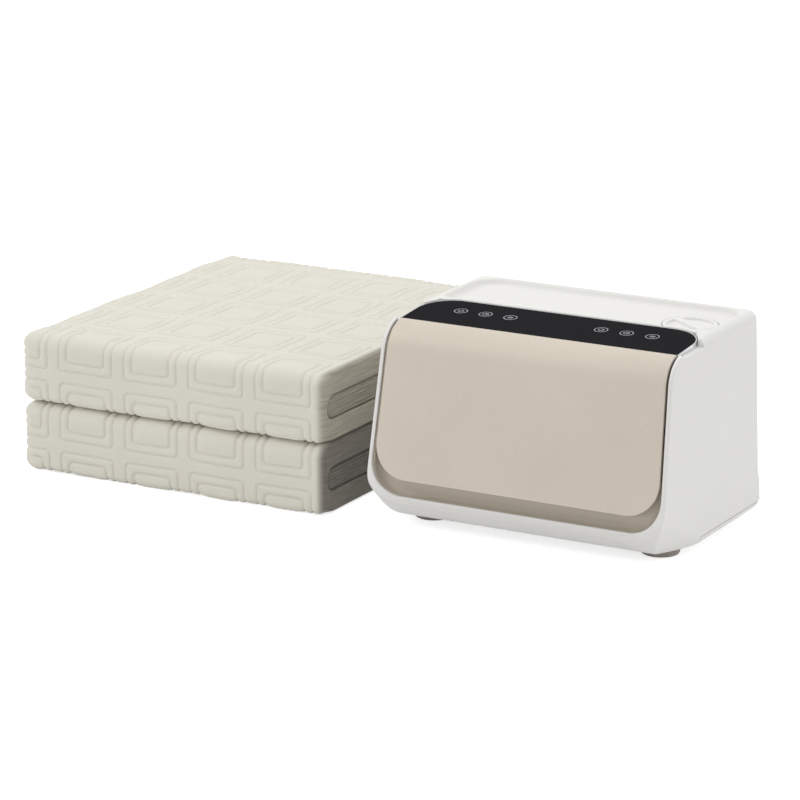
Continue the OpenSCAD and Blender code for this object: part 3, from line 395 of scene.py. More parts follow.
def soft_copy(node: str, name: str, edge: float, body: str) -> bpy.types.Object:
    """Copies a hard part's solid and rounds its edges a little.

    Args:
        node: Name of the solid.
        name: Name of the new piece.
        edge: Width of the rounding.
        body: Body that the piece rides on.

    Returns:
        The piece, which stands for the solid.
    """
    made = bpy.data.objects.new(name, frame["nodes"][node].data.copy())
    bpy.context.scene.collection.objects.link(made)
    work = bmesh.new()
    work.from_mesh(made.data)
    bmesh.ops.remove_doubles(work, verts=work.verts, dist=2e-6)
    bmesh.ops.dissolve_limit(work, angle_limit=math.radians(1.0), verts=work.verts, edges=work.edges)
    work.to_mesh(made.data)
    work.free()
    rounding = made.modifiers.new("edges", "BEVEL")
    rounding.width = edge
    rounding.segments = 2
    rounding.limit_method = "ANGLE"
    rounding.angle_limit = math.radians(35.0)
    rounding.use_clamp_overlap = True
    bake_modifiers(made)
    smooth_by_angle(made, 50.0)
    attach(made, body)
    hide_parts(node)
    return made


class Slot(Enum):
    """Material slots of the record that new pieces take their finish from."""

    WHITE = "white_plastic"
    PANEL = "champagne_panel"
    RECESS = "recess_grey"
    GLASS = "black_glass"
    FRAME = "silver_frame"
    QUILT = "quilt_fabric"
    FOLD = "fold_fabric"


def srgb_to_linear(value: float) -> float:
    """Turns a display value from 0 to 1 into a linear one."""
    return value / 12.92 if value <= 0.04045 else ((value + 0.055) / 1.055) ** 2.4


def shade(code: str) -> Colour:
    """Display colour from six hexadecimal digits."""
    return tuple(int(code[i:i + 2], 16) / 255 for i in (0, 2, 4))


@dataclass(frozen=True)
class Surface:
    """What every finish has: its own node material, made once, and nodes that all of them use.

    Attributes:
        name: Name of the finish.
        colour: Colour as it is seen, from 0 to 1 for red, green and blue.
    """

    name: str
    colour: Colour

    def material(self) -> bpy.types.Material:
        """Gives the node material, and makes it at the first call."""
        name = f"{self.name}_finish"
        made = bpy.data.materials.get(name)
        if made is None:
            made = bpy.data.materials.new(name)
            made.use_nodes = True
            self._fill(made.node_tree)
        return made

    def _fill(self, tree: bpy.types.NodeTree) -> None:
        """Adds the nodes of this kind of finish."""
        raise NotImplementedError

    @staticmethod
    def _noise(tree: bpy.types.NodeTree, place: bpy.types.NodeSocket, scale: float,
               detail: float) -> bpy.types.NodeSocket:
        """Noise over some coordinates, by its scale and detail."""
        noise = tree.nodes.new("ShaderNodeTexNoise")
        noise.inputs["Scale"].default_value = scale
        noise.inputs["Detail"].default_value = detail
        tree.links.new(place, noise.inputs["Vector"])
        return noise.outputs["Fac"]

    @staticmethod
    def _ramp(tree: bpy.types.NodeTree, colour: Colour, shares: Span,
              places: Span = (0.0, 1.0)) -> bpy.types.Node:
        """Ramp between a darker and a lighter share of one colour."""
        ramp = tree.nodes.new("ShaderNodeValToRGB")
        linear = [srgb_to_linear(c) for c in colour]
        for stop, share, place in zip(ramp.color_ramp.elements, shares, places):
            stop.position = place
            stop.color = [min(1.0, c * share) for c in linear] + [1]
        return ramp


@dataclass(frozen=True)
class Finish(Surface):
    """Moulded or metal surface with a fine grain, faint colour drift and its own gloss.

    Attributes:
        roughness: Mean roughness.
        metallic: 1 for bare metal.
        grain: Size of the surface grain, in metres.
        relief: Depth of the grain in the bump, in metres.
        drift: Share by which the colour changes across the piece.
        coat: Weight of the clear coat.
        clear: Share of light that passes through.
        specular: Strength of the mirror part.
        speckle: Share of the grain in the colour's change.
    """

    roughness: float = 0.45
    metallic: float = 0.0
    grain: float = 0.0006
    relief: float = 0.00002
    drift: float = 0.03
    coat: float = 0.0
    clear: float = 0.0
    specular: float = 0.5
    speckle: float = 0.0

    drift_scale = 14.0
    drift_detail = 3.0
    grain_detail = 2.0
    gloss_spread = 0.06
    least_gloss = 0.02
    coat_roughness = 0.08

    def _fill(self, tree: bpy.types.NodeTree) -> None:
        """Adds the grain, the drift of the colour and the gloss."""
        nodes, links = tree.nodes, tree.links
        shader = nodes["Principled BSDF"]
        shader.inputs["Metallic"].default_value = self.metallic
        shader.inputs["Coat Weight"].default_value = self.coat
        shader.inputs["Coat Roughness"].default_value = self.coat_roughness
        shader.inputs["Transmission Weight"].default_value = self.clear
        shader.inputs["Specular IOR Level"].default_value = self.specular
        place = nodes.new("ShaderNodeTexCoord").outputs["Object"]
        tint = self._noise(tree, place, self.drift_scale, self.drift_detail)
        fine = self._noise(tree, place, 1.0 / self.grain, self.grain_detail)
        ramp = self._ramp(tree, self.colour, (1 - self.drift, 1 + self.drift))
        links.new(ramp.outputs["Color"], shader.inputs["Base Color"])
        centred = nodes.new("ShaderNodeMath")
        centred.operation = "SUBTRACT"
        centred.inputs[1].default_value = 0.5
        links.new(fine, centred.inputs[0])
        mixed = nodes.new("ShaderNodeMath")
        mixed.operation = "MULTIPLY_ADD"
        mixed.inputs[1].default_value = self.speckle
        links.new(centred.outputs["Value"], mixed.inputs[0])
        links.new(tint, mixed.inputs[2])
        links.new(mixed.outputs["Value"], ramp.inputs["Fac"])
        gloss = nodes.new("ShaderNodeMapRange")
        gloss.inputs["To Min"].default_value = max(self.least_gloss, self.roughness - self.gloss_spread)
        gloss.inputs["To Max"].default_value = min(1.0, self.roughness + self.gloss_spread)
        links.new(fine, gloss.inputs["Value"])
        links.new(gloss.outputs["Result"], shader.inputs["Roughness"])
        bump = nodes.new("ShaderNodeBump")
        bump.inputs["Distance"].default_value = self.relief
        bump.inputs["Strength"].default_value = 1.0
        links.new(fine, bump.inputs["Height"])
        links.new(bump.outputs["Normal"], shader.inputs["Normal"])


WHITE_PLASTIC = Finish("white_plastic", shade("ECEBE8"), roughness=0.45, relief=0.000006, drift=0.012)
RECESS_PLASTIC = Finish("recess_plastic", shade("D2C8BA"), roughness=0.5, relief=0.00001, drift=0.02)
PANEL_PAINT = Finish("champagne_paint", shade("D4CABC"), roughness=0.55, metallic=0.12, grain=0.0009,
                     relief=0.00002, drift=0.05, speckle=2.2)
BLACK_GLASS = Finish("black_glass", shade("2A2A2C"), roughness=0.3, relief=0.000001, drift=0.01, specular=0.0)
SILVER_TRIM = Finish("silver_trim", shade("D9D9DB"), roughness=0.28, metallic=0.7, relief=0.000003)
GREY_RUBBER = Finish("grey_rubber", shade("A8A298"), roughness=0.7, relief=0.00003)
KEY_SILVER = Finish("key_silver", shade("BDBDC0"), roughness=0.4, relief=0.000001)
DARK_PLASTIC = Finish("dark_plastic", shade("4A4A50"), roughness=0.45, relief=0.00002)


def dress(piece: bpy.types.Object, finish: Surface) -> None:
    """Gives a piece one finish all over."""
    made = finish.material()
    piece.data.materials.clear()
    piece.data.materials.append(made)


@dataclass(frozen=True)
class FabricFinish(Surface):
    """Knitted quilt fabric: fine weave bump, soft sheen, a faint colour drift and, if given, painted shade at
    the right end.

    Attributes:
        weave: Size of one stitch of the knit, in metres.
        relief: Depth of the knit in the bump, in metres.
        end_shade_colour: Darker colour painted towards the cut right end as painted shade from the unit
            beside it, where the layers show.
        end_x: Place of that end along X, in metres.
    """

    weave: float = 0.0009
    relief: float = 0.00008
    end_shade_colour: Colour | None = None
    end_x: float = 0.0

    roughness = 0.85
    sheen = 0.25
    sheen_roughness = 0.5
    drift_scale = 9.0
    drift_detail = 4.0
    drift_shares = (0.97, 1.02)
    # Painted shade: the band before the right end over which the darker end colour fades in.
    end_shade_band = (0.0090, 0.0005)
    streak_stretch = (40.0, 40.0, 900.0)
    streak_detail = 3.0
    streak_shares = (0.72, 1.12)
    streak_places = (0.3, 0.7)

    def _fill(self, tree: bpy.types.NodeTree) -> None:
        """Adds the knit, the sheen, the drift of the colour and the painted shade on the right end."""
        nodes, links = tree.nodes, tree.links
        shader = nodes["Principled BSDF"]
        shader.inputs["Roughness"].default_value = self.roughness
        shader.inputs["Sheen Weight"].default_value = self.sheen
        shader.inputs["Sheen Roughness"].default_value = self.sheen_roughness
        place = nodes.new("ShaderNodeTexCoord").outputs["Object"]
        ramp = self._ramp(tree, self.colour, self.drift_shares)
        links.new(self._noise(tree, place, self.drift_scale, self.drift_detail), ramp.inputs["Fac"])
        colour = ramp.outputs["Color"]
        if self.end_shade_colour:
            colour = self._paint_end_shade(tree, place, colour)
        links.new(colour, shader.inputs["Base Color"])
        cells = nodes.new("ShaderNodeTexVoronoi")
        cells.inputs["Scale"].default_value = 1.0 / self.weave
        links.new(place, cells.inputs["Vector"])
        bump = nodes.new("ShaderNodeBump")
        bump.inputs["Distance"].default_value = self.relief
        links.new(cells.outputs["Distance"], bump.inputs["Height"])
        links.new(bump.outputs["Normal"], shader.inputs["Normal"])

    def _paint_end_shade(self, tree: bpy.types.NodeTree, place: bpy.types.NodeSocket,
                  colour: bpy.types.NodeSocket) -> bpy.types.NodeSocket:
        """Mixes in painted shade towards the right end: a darker colour with fine streaks of the layers.

        Args:
            tree: The material's nodes.
            place: Object coordinates.
            colour: Colour of the rest.

        Returns:
            The mixed colour.
        """
        nodes, links = tree.nodes, tree.links
        parts = nodes.new("ShaderNodeSeparateXYZ")
        links.new(place, parts.inputs["Vector"])
        # Painted shade: the darker end colour fades in over the last few millimetres before the right end.
        share = nodes.new("ShaderNodeMapRange")
        share.interpolation_type = "SMOOTHSTEP"
        first, last = self.end_shade_band
        share.inputs["From Min"].default_value = self.end_x - first
        share.inputs["From Max"].default_value = self.end_x - last
        links.new(parts.outputs["X"], share.inputs["Value"])
        stretch = nodes.new("ShaderNodeMapping")
        stretch.inputs["Scale"].default_value = self.streak_stretch
        links.new(place, stretch.inputs["Vector"])
        streaks = self._noise(tree, stretch.outputs["Vector"], 1.0, self.streak_detail)
        layers = self._ramp(tree, self.end_shade_colour, self.streak_shares, self.streak_places)
        links.new(streaks, layers.inputs["Fac"])
        mix = nodes.new("ShaderNodeMix")
        mix.data_type = "RGBA"
        links.new(share.outputs["Result"], mix.inputs["Factor"])
        links.new(colour, mix.inputs["A"])
        links.new(layers.outputs["Color"], mix.inputs["B"])
        return mix.outputs["Result"]


QUILT_CREAM = shade("E3E0D4")
FOLD_CREAM = shade("DDD8CA")
# Painted shade for the right ends, where the unit's shadow falls; darkest on the lower bundle. The fabric's
# own colour is the cream above.
QUILT_END_SHADE = {"upper": shade("B4AE9E"), "lower": shade("7E796E")}
FOLD_END_SHADE = {"upper": shade("A29B8C"), "lower": shade("736E64")}


@dataclass
class Unit:
    """Control unit that heats and pumps the water, in its own frame.

    Its origin is under the middle of the glass's front edge, on the floor. Y runs to the back.
    All lengths are in metres and all angles in degrees.
    """

    width: float = 0.291
    glass_side: float = 0.0055
    depth: float = 0.168
    glass_z: float = 0.192
    rim_z: float = 0.198
    body_z: float = 0.009
    draft: float = 2.0
    front_slope: float = 10.0
    shoulder_r: float = 0.030
    shoulder_y: float = 0.004
    chin_r: float = 0.038
    low_corner_r: float = 0.009
    low_front_r: float = 0.050
    back_corner_r: float = 0.012
    top_edge_r: float = 0.009
    lip_edge_r: float = 0.0022
    wall: float = 0.003
    seam_y: float = 0.032
    seam_z: float = 0.017
    lip_w: float = 0.004
    opening_z: float = 0.036
    opening_r: float = 0.032
    recess_d: float = 0.013
    liner_t: float = 0.002
    panel_z: float = 0.052
    panel_r: float = 0.033
    panel_t: float = 0.0025
    panel_gap: float = 0.0025
    panel_set: float = 0.0004
    panel_end: float = 98.4
    glass_d: float = 0.066
    glass_tilt: float = 4.5
    glass_t: float = 0.0016
    glass_r: float = 0.034
    glass_lift: float = 0.0024
    low_side: float = 0.044
    rim_w: float = 0.0008
    tray_depth: float = 0.007
    tray_rim: float = 0.011
    tray_r: float = 0.024
    cap_x: float = 0.100
    cap_y: float = 0.112
    cap_d: float = 0.051
    cap_t: float = 0.0045
    cap_gap: float = 0.0006
    neck_d: float = 0.038
    key_first: float = 0.046
    key_pitch: float = 0.0255
    key_y: float = 0.038
    far_y: float = 0.4
    far_z: float = 0.25
    lip_fade_in: Span = (0.012, 0.034)
    lip_fade_out: Span = (0.192, 0.1955)
    corner_start: float = 0.030
    corner_run: float = 0.070
    corner_most: float = 1.02
    corner_power: float = 1.5

    def __post_init__(self) -> None:
        """Works out the places that follow from the driving sizes and the frame."""
        low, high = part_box("housing_shell")
        self.origin = Vector(((low.x + high.x) / 2, high.y - self.depth, 0.0))
        self.slope_tan = math.tan(math.radians(self.draft))
        self.seat_z = self.glass_z - self.glass_lift
        self.tray_z = self.rim_z - self.tray_depth
        self.pocket_z = self.tray_z - self.cap_t
        self.shoulder_z = self.glass_z - self.shoulder_r + 0.001
        chin_z = self.body_z + self.chin_r
        slope = math.radians(self.front_slope)
        reach = self.shoulder_r - self.chin_r - (chin_z - self.shoulder_z) * math.sin(slope)
        self.chin = (self.shoulder_y - reach / math.cos(slope), chin_z)
        self.glass_half = self.half_width(self.glass_z) - self.glass_side
        self.front_line = np.concatenate([
            [[self.far_y, self.body_z]],
            arc(self.chin, self.chin_r, 270, 180 - self.front_slope, 32),
            arc((self.shoulder_y, self.shoulder_z), self.shoulder_r, 180 - self.front_slope, 100, 28),
            [[self.glass_d - 0.010, self.rim_z], [self.far_y, self.rim_z]],
        ])

    def half_width(self, z: Array | float) -> Array | float:
        """Half of the unit's width at a height."""
        return self.width / 2 + (self.glass_z - z) * self.slope_tan

    def front_depth(self, y: Array, z: Array) -> Array:
        """Distance to the front face, negative inside the unit."""
        return convex_distance(self.front_line, y, z)

    def body(self, x: Array, y: Array, z: Array) -> Array:
        """Distance to the closed body with all its rounded edges."""
        side = (np.abs(x) - self.half_width(z)) * math.cos(math.radians(self.draft))
        back = y - self.depth
        walls = join_round(side, back, self.back_corner_r)
        ahead = np.clip((self.corner_start - y) / self.corner_run, 0.0, self.corner_most) ** self.corner_power
        low_r = self.low_corner_r + (self.low_front_r - self.low_corner_r) * ahead
        high = join_round(walls, z - self.rim_z, self.top_edge_r)
        shell = np.maximum(high, join_round(walls, self.body_z - z, low_r))
        lip_r = self.lip_edge_r * smoothstep(z, *self.lip_fade_in) * (1 - smoothstep(z, *self.lip_fade_out))
        return join_round(shell, self.front_depth(y, z), lip_r)

    def front_outline(self, inset: float, low: float, radius: float) -> Array:
        """Outline of the front opening or of a piece in it, as seen from the front."""
        lean = math.radians(self.draft)
        half = self.half_width(low + radius) - inset - radius / math.cos(lean)
        corner = arc((half, low + radius), radius, -90, self.draft, 24)
        reach = corner[-1, 0] + (corner[-1, 1] - self.far_z) * self.slope_tan
        right = np.concatenate([corner, [[reach, self.far_z]]])
        return np.concatenate([right, right[::-1] * [-1, 1]])

    def glass_outline(self, grow: float) -> Array:
        """Outline of the glass in its own plane, moved outwards by a distance."""
        half, back, r = self.glass_half + grow, self.glass_d + grow, self.glass_r + grow
        right = np.concatenate([[[half, -0.01]], arc((half - r, back - r), r, 0, 90, 24)])
        return np.concatenate([right, right[::-1] * [-1, 1]])

    def on_glass(self, y: Array, z: Array) -> tuple[Array, Array]:
        """Place along the glass and height above it."""
        tilt = math.radians(self.glass_tilt)
        lift = z - self.glass_z
        return y * math.cos(tilt) + lift * math.sin(tilt), lift * math.cos(tilt) - y * math.sin(tilt)


@dataclass
class HousingShell:
    """White housing with its front opening, glass seat, tray and back openings.

    All lengths are in metres, places are in the unit's own frame, and the grid's spacings are in
    millimetres.
    """

    unit: Unit
    chin_turn: float = 0.0034
    chin_band: Span = (0.0038, 0.0105)
    chin_heights: Span = (0.030, 0.050)
    roof_t: float = 0.0022
    play: float = 0.0003
    flange: float = 0.003
    drain_r: float = 0.0093
    vent_x: float = 0.052
    vent_half: float = 0.029
    vent_low: float = 0.119
    vent_pitch: float = 0.006
    vent_rows: int = 7
    vent_r: float = 0.001
    back_reach: float = 0.020
    tray_front_gap: float = 0.004
    tray_wall_front: float = 0.006
    tray_floor_r: float = 0.0055
    tray_edge_r: float = 0.0032
    pocket_wall: float = 0.003
    pocket_floor_half: float = 0.0032
    pocket_floor_up: float = 0.0002
    pocket_edge_r: float = 0.0016
    neck_reach: float = 0.020
    opening_end: float = 0.008
    opening_edge_r: float = 0.0010
    seat_edge_r: float = 0.0007
    well_side: float = 0.009
    well_end: float = 0.006
    well_depth: float = 0.020
    fine_edge_r: float = 0.0005
    half_grid_x: Stops = ((0, 4), (0.060, 3), (0.084, 1.6), (0.126, 1), (0.1395, 0.6), (0.1535, 1))
    grid_y: Stops = ((-0.048, 1.2), (0.0, 0.8), (0.012, 2), (0.034, 1.2), (0.078, 2), (0.140, 1.2),
                     (0.170, 1))
    grid_z: Stops = ((0.007, 1), (0.020, 1.4), (0.038, 0.9), (0.042, 2.2), (0.116, 0.6), (0.158, 2.2),
                     (0.180, 0.7), (0.200, 1))
    most: int = 190000

    def __post_init__(self) -> None:
        """Works out the outlines of the tray and of the front opening."""
        u = self.unit
        self.tray_outline = self._tray_outline()
        self.opening = u.front_outline(u.lip_w, u.opening_z, u.opening_r)

    def _tray_outline(self) -> Array:
        """Outline of the tray behind the glass."""
        u = self.unit
        half = u.width / 2 - u.tray_rim
        front, back = u.glass_d + self.tray_front_gap, u.depth - u.tray_rim
        front_r = u.tray_r / 2
        right = np.concatenate([
            arc((half - front_r, front + front_r), front_r, -90, 0, 16),
            arc((half - u.tray_r, back - u.tray_r), u.tray_r, 0, 90, 20),
        ])
        return np.concatenate([right, right[::-1] * [-1, 1]])

    def _back_openings(self, x: Array, y: Array, z: Array) -> Array:
        """Distance to the openings of coupling, inlet, drain and vents."""
        found = None
        for node in ("hose_coupling", "mains_inlet"):
            low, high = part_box(node)
            cx = (low.x + high.x) / 2 - self.unit.origin.x
            cz = (low.z + high.z) / 2
            half_x = (high.x - low.x) / 2 - self.flange + self.play
            half_z = (high.z - low.z) / 2 - self.flange + self.play
            box = np.maximum(np.abs(x - cx) - half_x, np.abs(z - cz) - half_z)
            found = box if found is None else np.minimum(found, box)
        low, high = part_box("drain_plug")
        across = x - (low.x + high.x) / 2 + self.unit.origin.x
        found = np.minimum(found, np.hypot(across, z - (low.z + high.z) / 2) - self.drain_r)
        for side in (-1, 1):
            for row in range(self.vent_rows):
                along = np.maximum(np.abs(x - side * self.vent_x) - self.vent_half, 0.0)
                slot = np.hypot(along, z - self.vent_low - row * self.vent_pitch) - self.vent_r
                found = np.minimum(found, slot)
        return np.maximum(found, self.unit.depth - self.back_reach - y)

    def form(self, x: Array, y: Array, z: Array) -> Array:
        """Distance to the housing, negative inside its wall."""
        u = self.unit
        around = convex_distance(self.opening, x, z)
        low, high = self.chin_heights
        turned = self.chin_turn * smoothstep(around, *self.chin_band)
        outer = u.body(x, y - turned * smoothstep(-z, -high, -low), z)
        under_tray = np.maximum(u.glass_d - self.tray_wall_front - y, u.tray_z - u.wall - z)
        cavity = np.maximum(outer + u.wall, -under_tray)
        cavity = np.maximum(cavity, z - u.seat_z + self.roof_t)
        shell = np.maximum(outer, -cavity)
        radial = np.hypot(x - u.cap_x, y - u.cap_y)
        floor = np.abs(z - u.pocket_z - self.pocket_floor_up) - self.pocket_floor_half
        shell = np.minimum(shell, np.maximum(radial - u.cap_d / 2 - self.pocket_wall, floor))
        shell = cut_round(shell, np.maximum(around, y - self.opening_end), self.opening_edge_r)
        along, _ = u.on_glass(y, z)
        glass = convex_distance(u.glass_outline(u.rim_w), x, along)
        front = -self.play - y
        sides = np.maximum(y - u.low_side, front)
        seat = np.maximum(np.minimum(sides, np.maximum(glass, front)), u.seat_z - z)
        shell = cut_round(shell, seat, self.seat_edge_r)
        well = np.maximum(np.abs(x) - u.glass_half + self.well_side,
                          np.abs(y - u.glass_d / 2) - u.glass_d / 2 + self.well_end)
        shell = np.maximum(shell, -np.maximum(well, u.seat_z - self.well_depth - z))
        tray = join_round(convex_distance(self.tray_outline, x, y), u.tray_z - z, self.tray_floor_r)
        shell = cut_round(shell, tray, self.tray_edge_r)
        pocket = np.maximum(radial - u.cap_d / 2 - u.cap_gap, u.pocket_z - z)
        shell = cut_round(shell, pocket, self.pocket_edge_r)
        neck = np.maximum(radial - u.neck_d / 2 - self.play, u.pocket_z - self.neck_reach - z)
        shell = np.maximum(shell, -neck)
        base = np.maximum(u.seam_y - y, z - u.seam_z)
        shell = cut_round(shell, base, self.fine_edge_r)
        return cut_round(shell, self._back_openings(x, y, z), self.fine_edge_r)

    def build(self) -> bpy.types.Object:
        """Makes the housing and lets it stand for its solid."""
        unit = grid_unit()
        skin = Skin(self.form, graded(both_sides(self.half_grid_x), unit), graded(self.grid_y, unit),
                    graded(self.grid_z, unit))
        made = skin.build("white_housing", self.unit.origin, self.most)
        dress(made, WHITE_PLASTIC)
        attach(made, "unit")
        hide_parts("housing_shell")
        return made


@dataclass
class BaseCover:
    """White cover under the unit, the lower part of the same body."""

    unit: Unit
    play: float = 0.0003
    edge_r: float = 0.0005
    lug_room: float = 0.002
    half_grid_x: Stops = ((0, 5), (0.134, 0.9), (0.154, 0.9))
    grid_y: Stops = ((0.030, 0.9), (0.040, 4), (0.150, 0.9), (0.170, 0.9))
    grid_z: Stops = ((0.0075, 0.7), (0.0185, 0.7))
    most: int = 60000

    def form(self, x: Array, y: Array, z: Array) -> Array:
        """Distance to the cover, negative inside its wall."""
        u = self.unit
        body = u.body(x, y, z)
        outer = join_round(body, np.maximum(z - u.seam_z + self.play, u.seam_y + self.play - y), self.edge_r)
        room = np.maximum(body + u.wall, u.seam_y + u.wall + self.lug_room - y)
        return np.maximum(outer, -room)

    def build(self) -> bpy.types.Object:
        """Makes the cover and lets it stand for its solid."""
        unit = grid_unit()
        skin = Skin(self.form, graded(both_sides(self.half_grid_x), unit), graded(self.grid_y, unit),
                    graded(self.grid_z, unit))
        made = skin.build("base_cover_shell", self.unit.origin, self.most)
        dress(made, WHITE_PLASTIC)
        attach(made, "unit")
        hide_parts("base_cover")
        return made


@dataclass
class FrontRecess:
    """Grey tub behind the front panel and the champagne panel itself."""

    unit: Unit
    play: float = 0.0003
    tub_drop: float = 0.003
    room_drop: float = 0.001
    tub_top: float = 0.1865
    room_r: float = 0.006
    half_grid_x: Stops = ((0, 4), (0.096, 1.2), (0.130, 0.7), (0.152, 0.7))
    grid_y: Stops = ((-0.048, 0.8), (-0.020, 1.2), (0.030, 1.2))
    grid_z: Stops = ((0.030, 0.7), (0.050, 1.6), (0.190, 1.6))
    most: int = 120000
    panel_edge_r: float = 0.0007
    corner_rows: int = 22
    straight_rows: int = 14
    shoulder_rows: int = 30
    half_columns: int = 9

    def liner_form(self, x: Array, y: Array, z: Array) -> Array:
        """Distance to the tub, negative inside its wall."""
        u = self.unit
        front = u.front_depth(y, z)
        fit = u.wall + self.play
        outline = u.front_outline(fit, u.opening_z - self.tub_drop, u.opening_r)
        room_outline = u.front_outline(fit + u.liner_t, u.opening_z - self.room_drop, u.opening_r)
        outer = np.maximum(-front - u.recess_d - u.liner_t, convex_distance(outline, x, z))
        outer = np.maximum(outer, u.body(x, y, z) + fit)
        outer = np.maximum(outer, z - self.tub_top)
        room = join_round(-front - u.recess_d, convex_distance(room_outline, x, z), self.room_r)
        return np.maximum(outer, -room)

    def build_liner(self) -> bpy.types.Object:
        """Makes the tub and lets it stand for its solid."""
        unit = grid_unit()
        skin = Skin(self.liner_form, graded(both_sides(self.half_grid_x), unit), graded(self.grid_y, unit),
                    graded(self.grid_z, unit))
        made = skin.build("recess_tub", self.unit.origin, self.most)
        dress(made, RECESS_PLASTIC)
        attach(made, "unit")
        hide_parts("recess_liner")
        return made

    def _panel_rows(self, inset: float) -> Array:
        """Flat points of the panel: sideways place, and place along the front profile."""
        u = self.unit
        slope = math.radians(u.front_slope)
        curve_r = u.shoulder_r - u.panel_set
        top = curve_r * math.radians(180 - u.front_slope - u.panel_end) - inset
        break_z = u.shoulder_z + curve_r * math.sin(slope)
        low = -(break_z - u.panel_z) / math.cos(slope) + inset
        radius = u.panel_r - inset
        rows = [low + radius * (1 - math.cos(a)) for a in np.linspace(0, math.pi / 2, self.corner_rows)]
        rows += list(np.linspace(rows[-1], 0.0, self.straight_rows)[1:])
        rows += list(np.linspace(0.0, top, self.shoulder_rows)[1:])
        columns = np.concatenate([-np.linspace(1, 0.0, self.half_columns),
                                  np.linspace(0, 1, self.half_columns)[1:]])
        grid = []
        for s in rows:
            if s < 0:
                z = break_z + s * math.cos(slope)
            else:
                z = u.shoulder_z + curve_r * math.sin(math.pi - slope - s / curve_r)
            half = u.half_width(z) - u.lip_w - u.panel_gap - inset
            short = max(0.0, radius - (s - low))
            half -= radius - math.sqrt(max(0.0, radius**2 - short**2))
            grid.append([(c * half, s) for c in columns])
        return np.array(grid)

    def _panel_place(self, flat: Array, depth: float) -> Array:
        """Puts flat panel points onto the front profile, at a depth below it."""
        u = self.unit
        slope = math.radians(u.front_slope)
        radius = u.shoulder_r - u.panel_set
        s = flat[:, 1]
        turn = math.pi - slope - np.maximum(s, 0.0) / radius
        down = np.minimum(s, 0.0)
        y = u.shoulder_y + (radius - depth) * np.cos(turn) + down * math.sin(slope)
        z = u.shoulder_z + (radius - depth) * np.sin(turn) + down * math.cos(slope)
        return np.stack([flat[:, 0], y, z], axis=1)

    def build_panel(self) -> bpy.types.Object:
        """Makes the champagne panel and lets it stand for its solid."""
        plate = Plate(self._panel_rows, self._panel_place, self.unit.panel_t, self.panel_edge_r)
        made = plate.build("champagne_panel", self.unit.origin)
        dress(made, PANEL_PAINT)
        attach(made, "unit")
        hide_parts("front_panel")
        return made


@dataclass
class GlassTop:
    """Black touch glass."""

    unit: Unit
    gap: float = 0.0001
    edge_r: float = 0.0004
    straight_rows: int = 9
    corner_rows: int = 26
    half_columns: int = 7

    def _place(self, flat: Array, depth: float) -> Array:
        """Puts flat glass points into the unit's frame."""
        u = self.unit
        tilt = math.radians(u.glass_tilt)
        y = flat[:, 1] * math.cos(tilt) + depth * math.sin(tilt)
        z = u.glass_z + flat[:, 1] * math.sin(tilt) - depth * math.cos(tilt)
        return np.stack([flat[:, 0], y, z], axis=1)

    def _rows(self, inset: float) -> Array:
        """Flat points of the glass."""
        u = self.unit
        gap = u.rim_w + self.gap
        half, back = u.glass_half - gap - inset, u.glass_d - gap - inset
        radius = u.glass_r - u.rim_w - inset
        turns = np.linspace(0, math.pi / 2, self.corner_rows)[1:]
        rows = list(np.linspace(inset, back - radius, self.straight_rows))
        rows += [back - radius + radius * math.sin(a) for a in turns]
        columns = np.concatenate([-np.linspace(1, 0.0, self.half_columns),
                                  np.linspace(0, 1, self.half_columns)[1:]])
        grid = []
        for y in rows:
            over = max(0.0, y - (back - radius))
            reach = half - radius + math.sqrt(max(0.0, radius**2 - over**2))
            grid.append([(c * reach, y) for c in columns])
        return np.array(grid)

    def build_glass(self) -> bpy.types.Object:
        """Makes the glass and lets it stand for its solid."""
        plate = Plate(self._rows, self._place, self.unit.glass_t, self.edge_r)
        made = plate.build("touch_glass_pane", self.unit.origin)
        dress(made, BLACK_GLASS)
        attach(made, "unit")
        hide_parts("touch_glass")
        return made


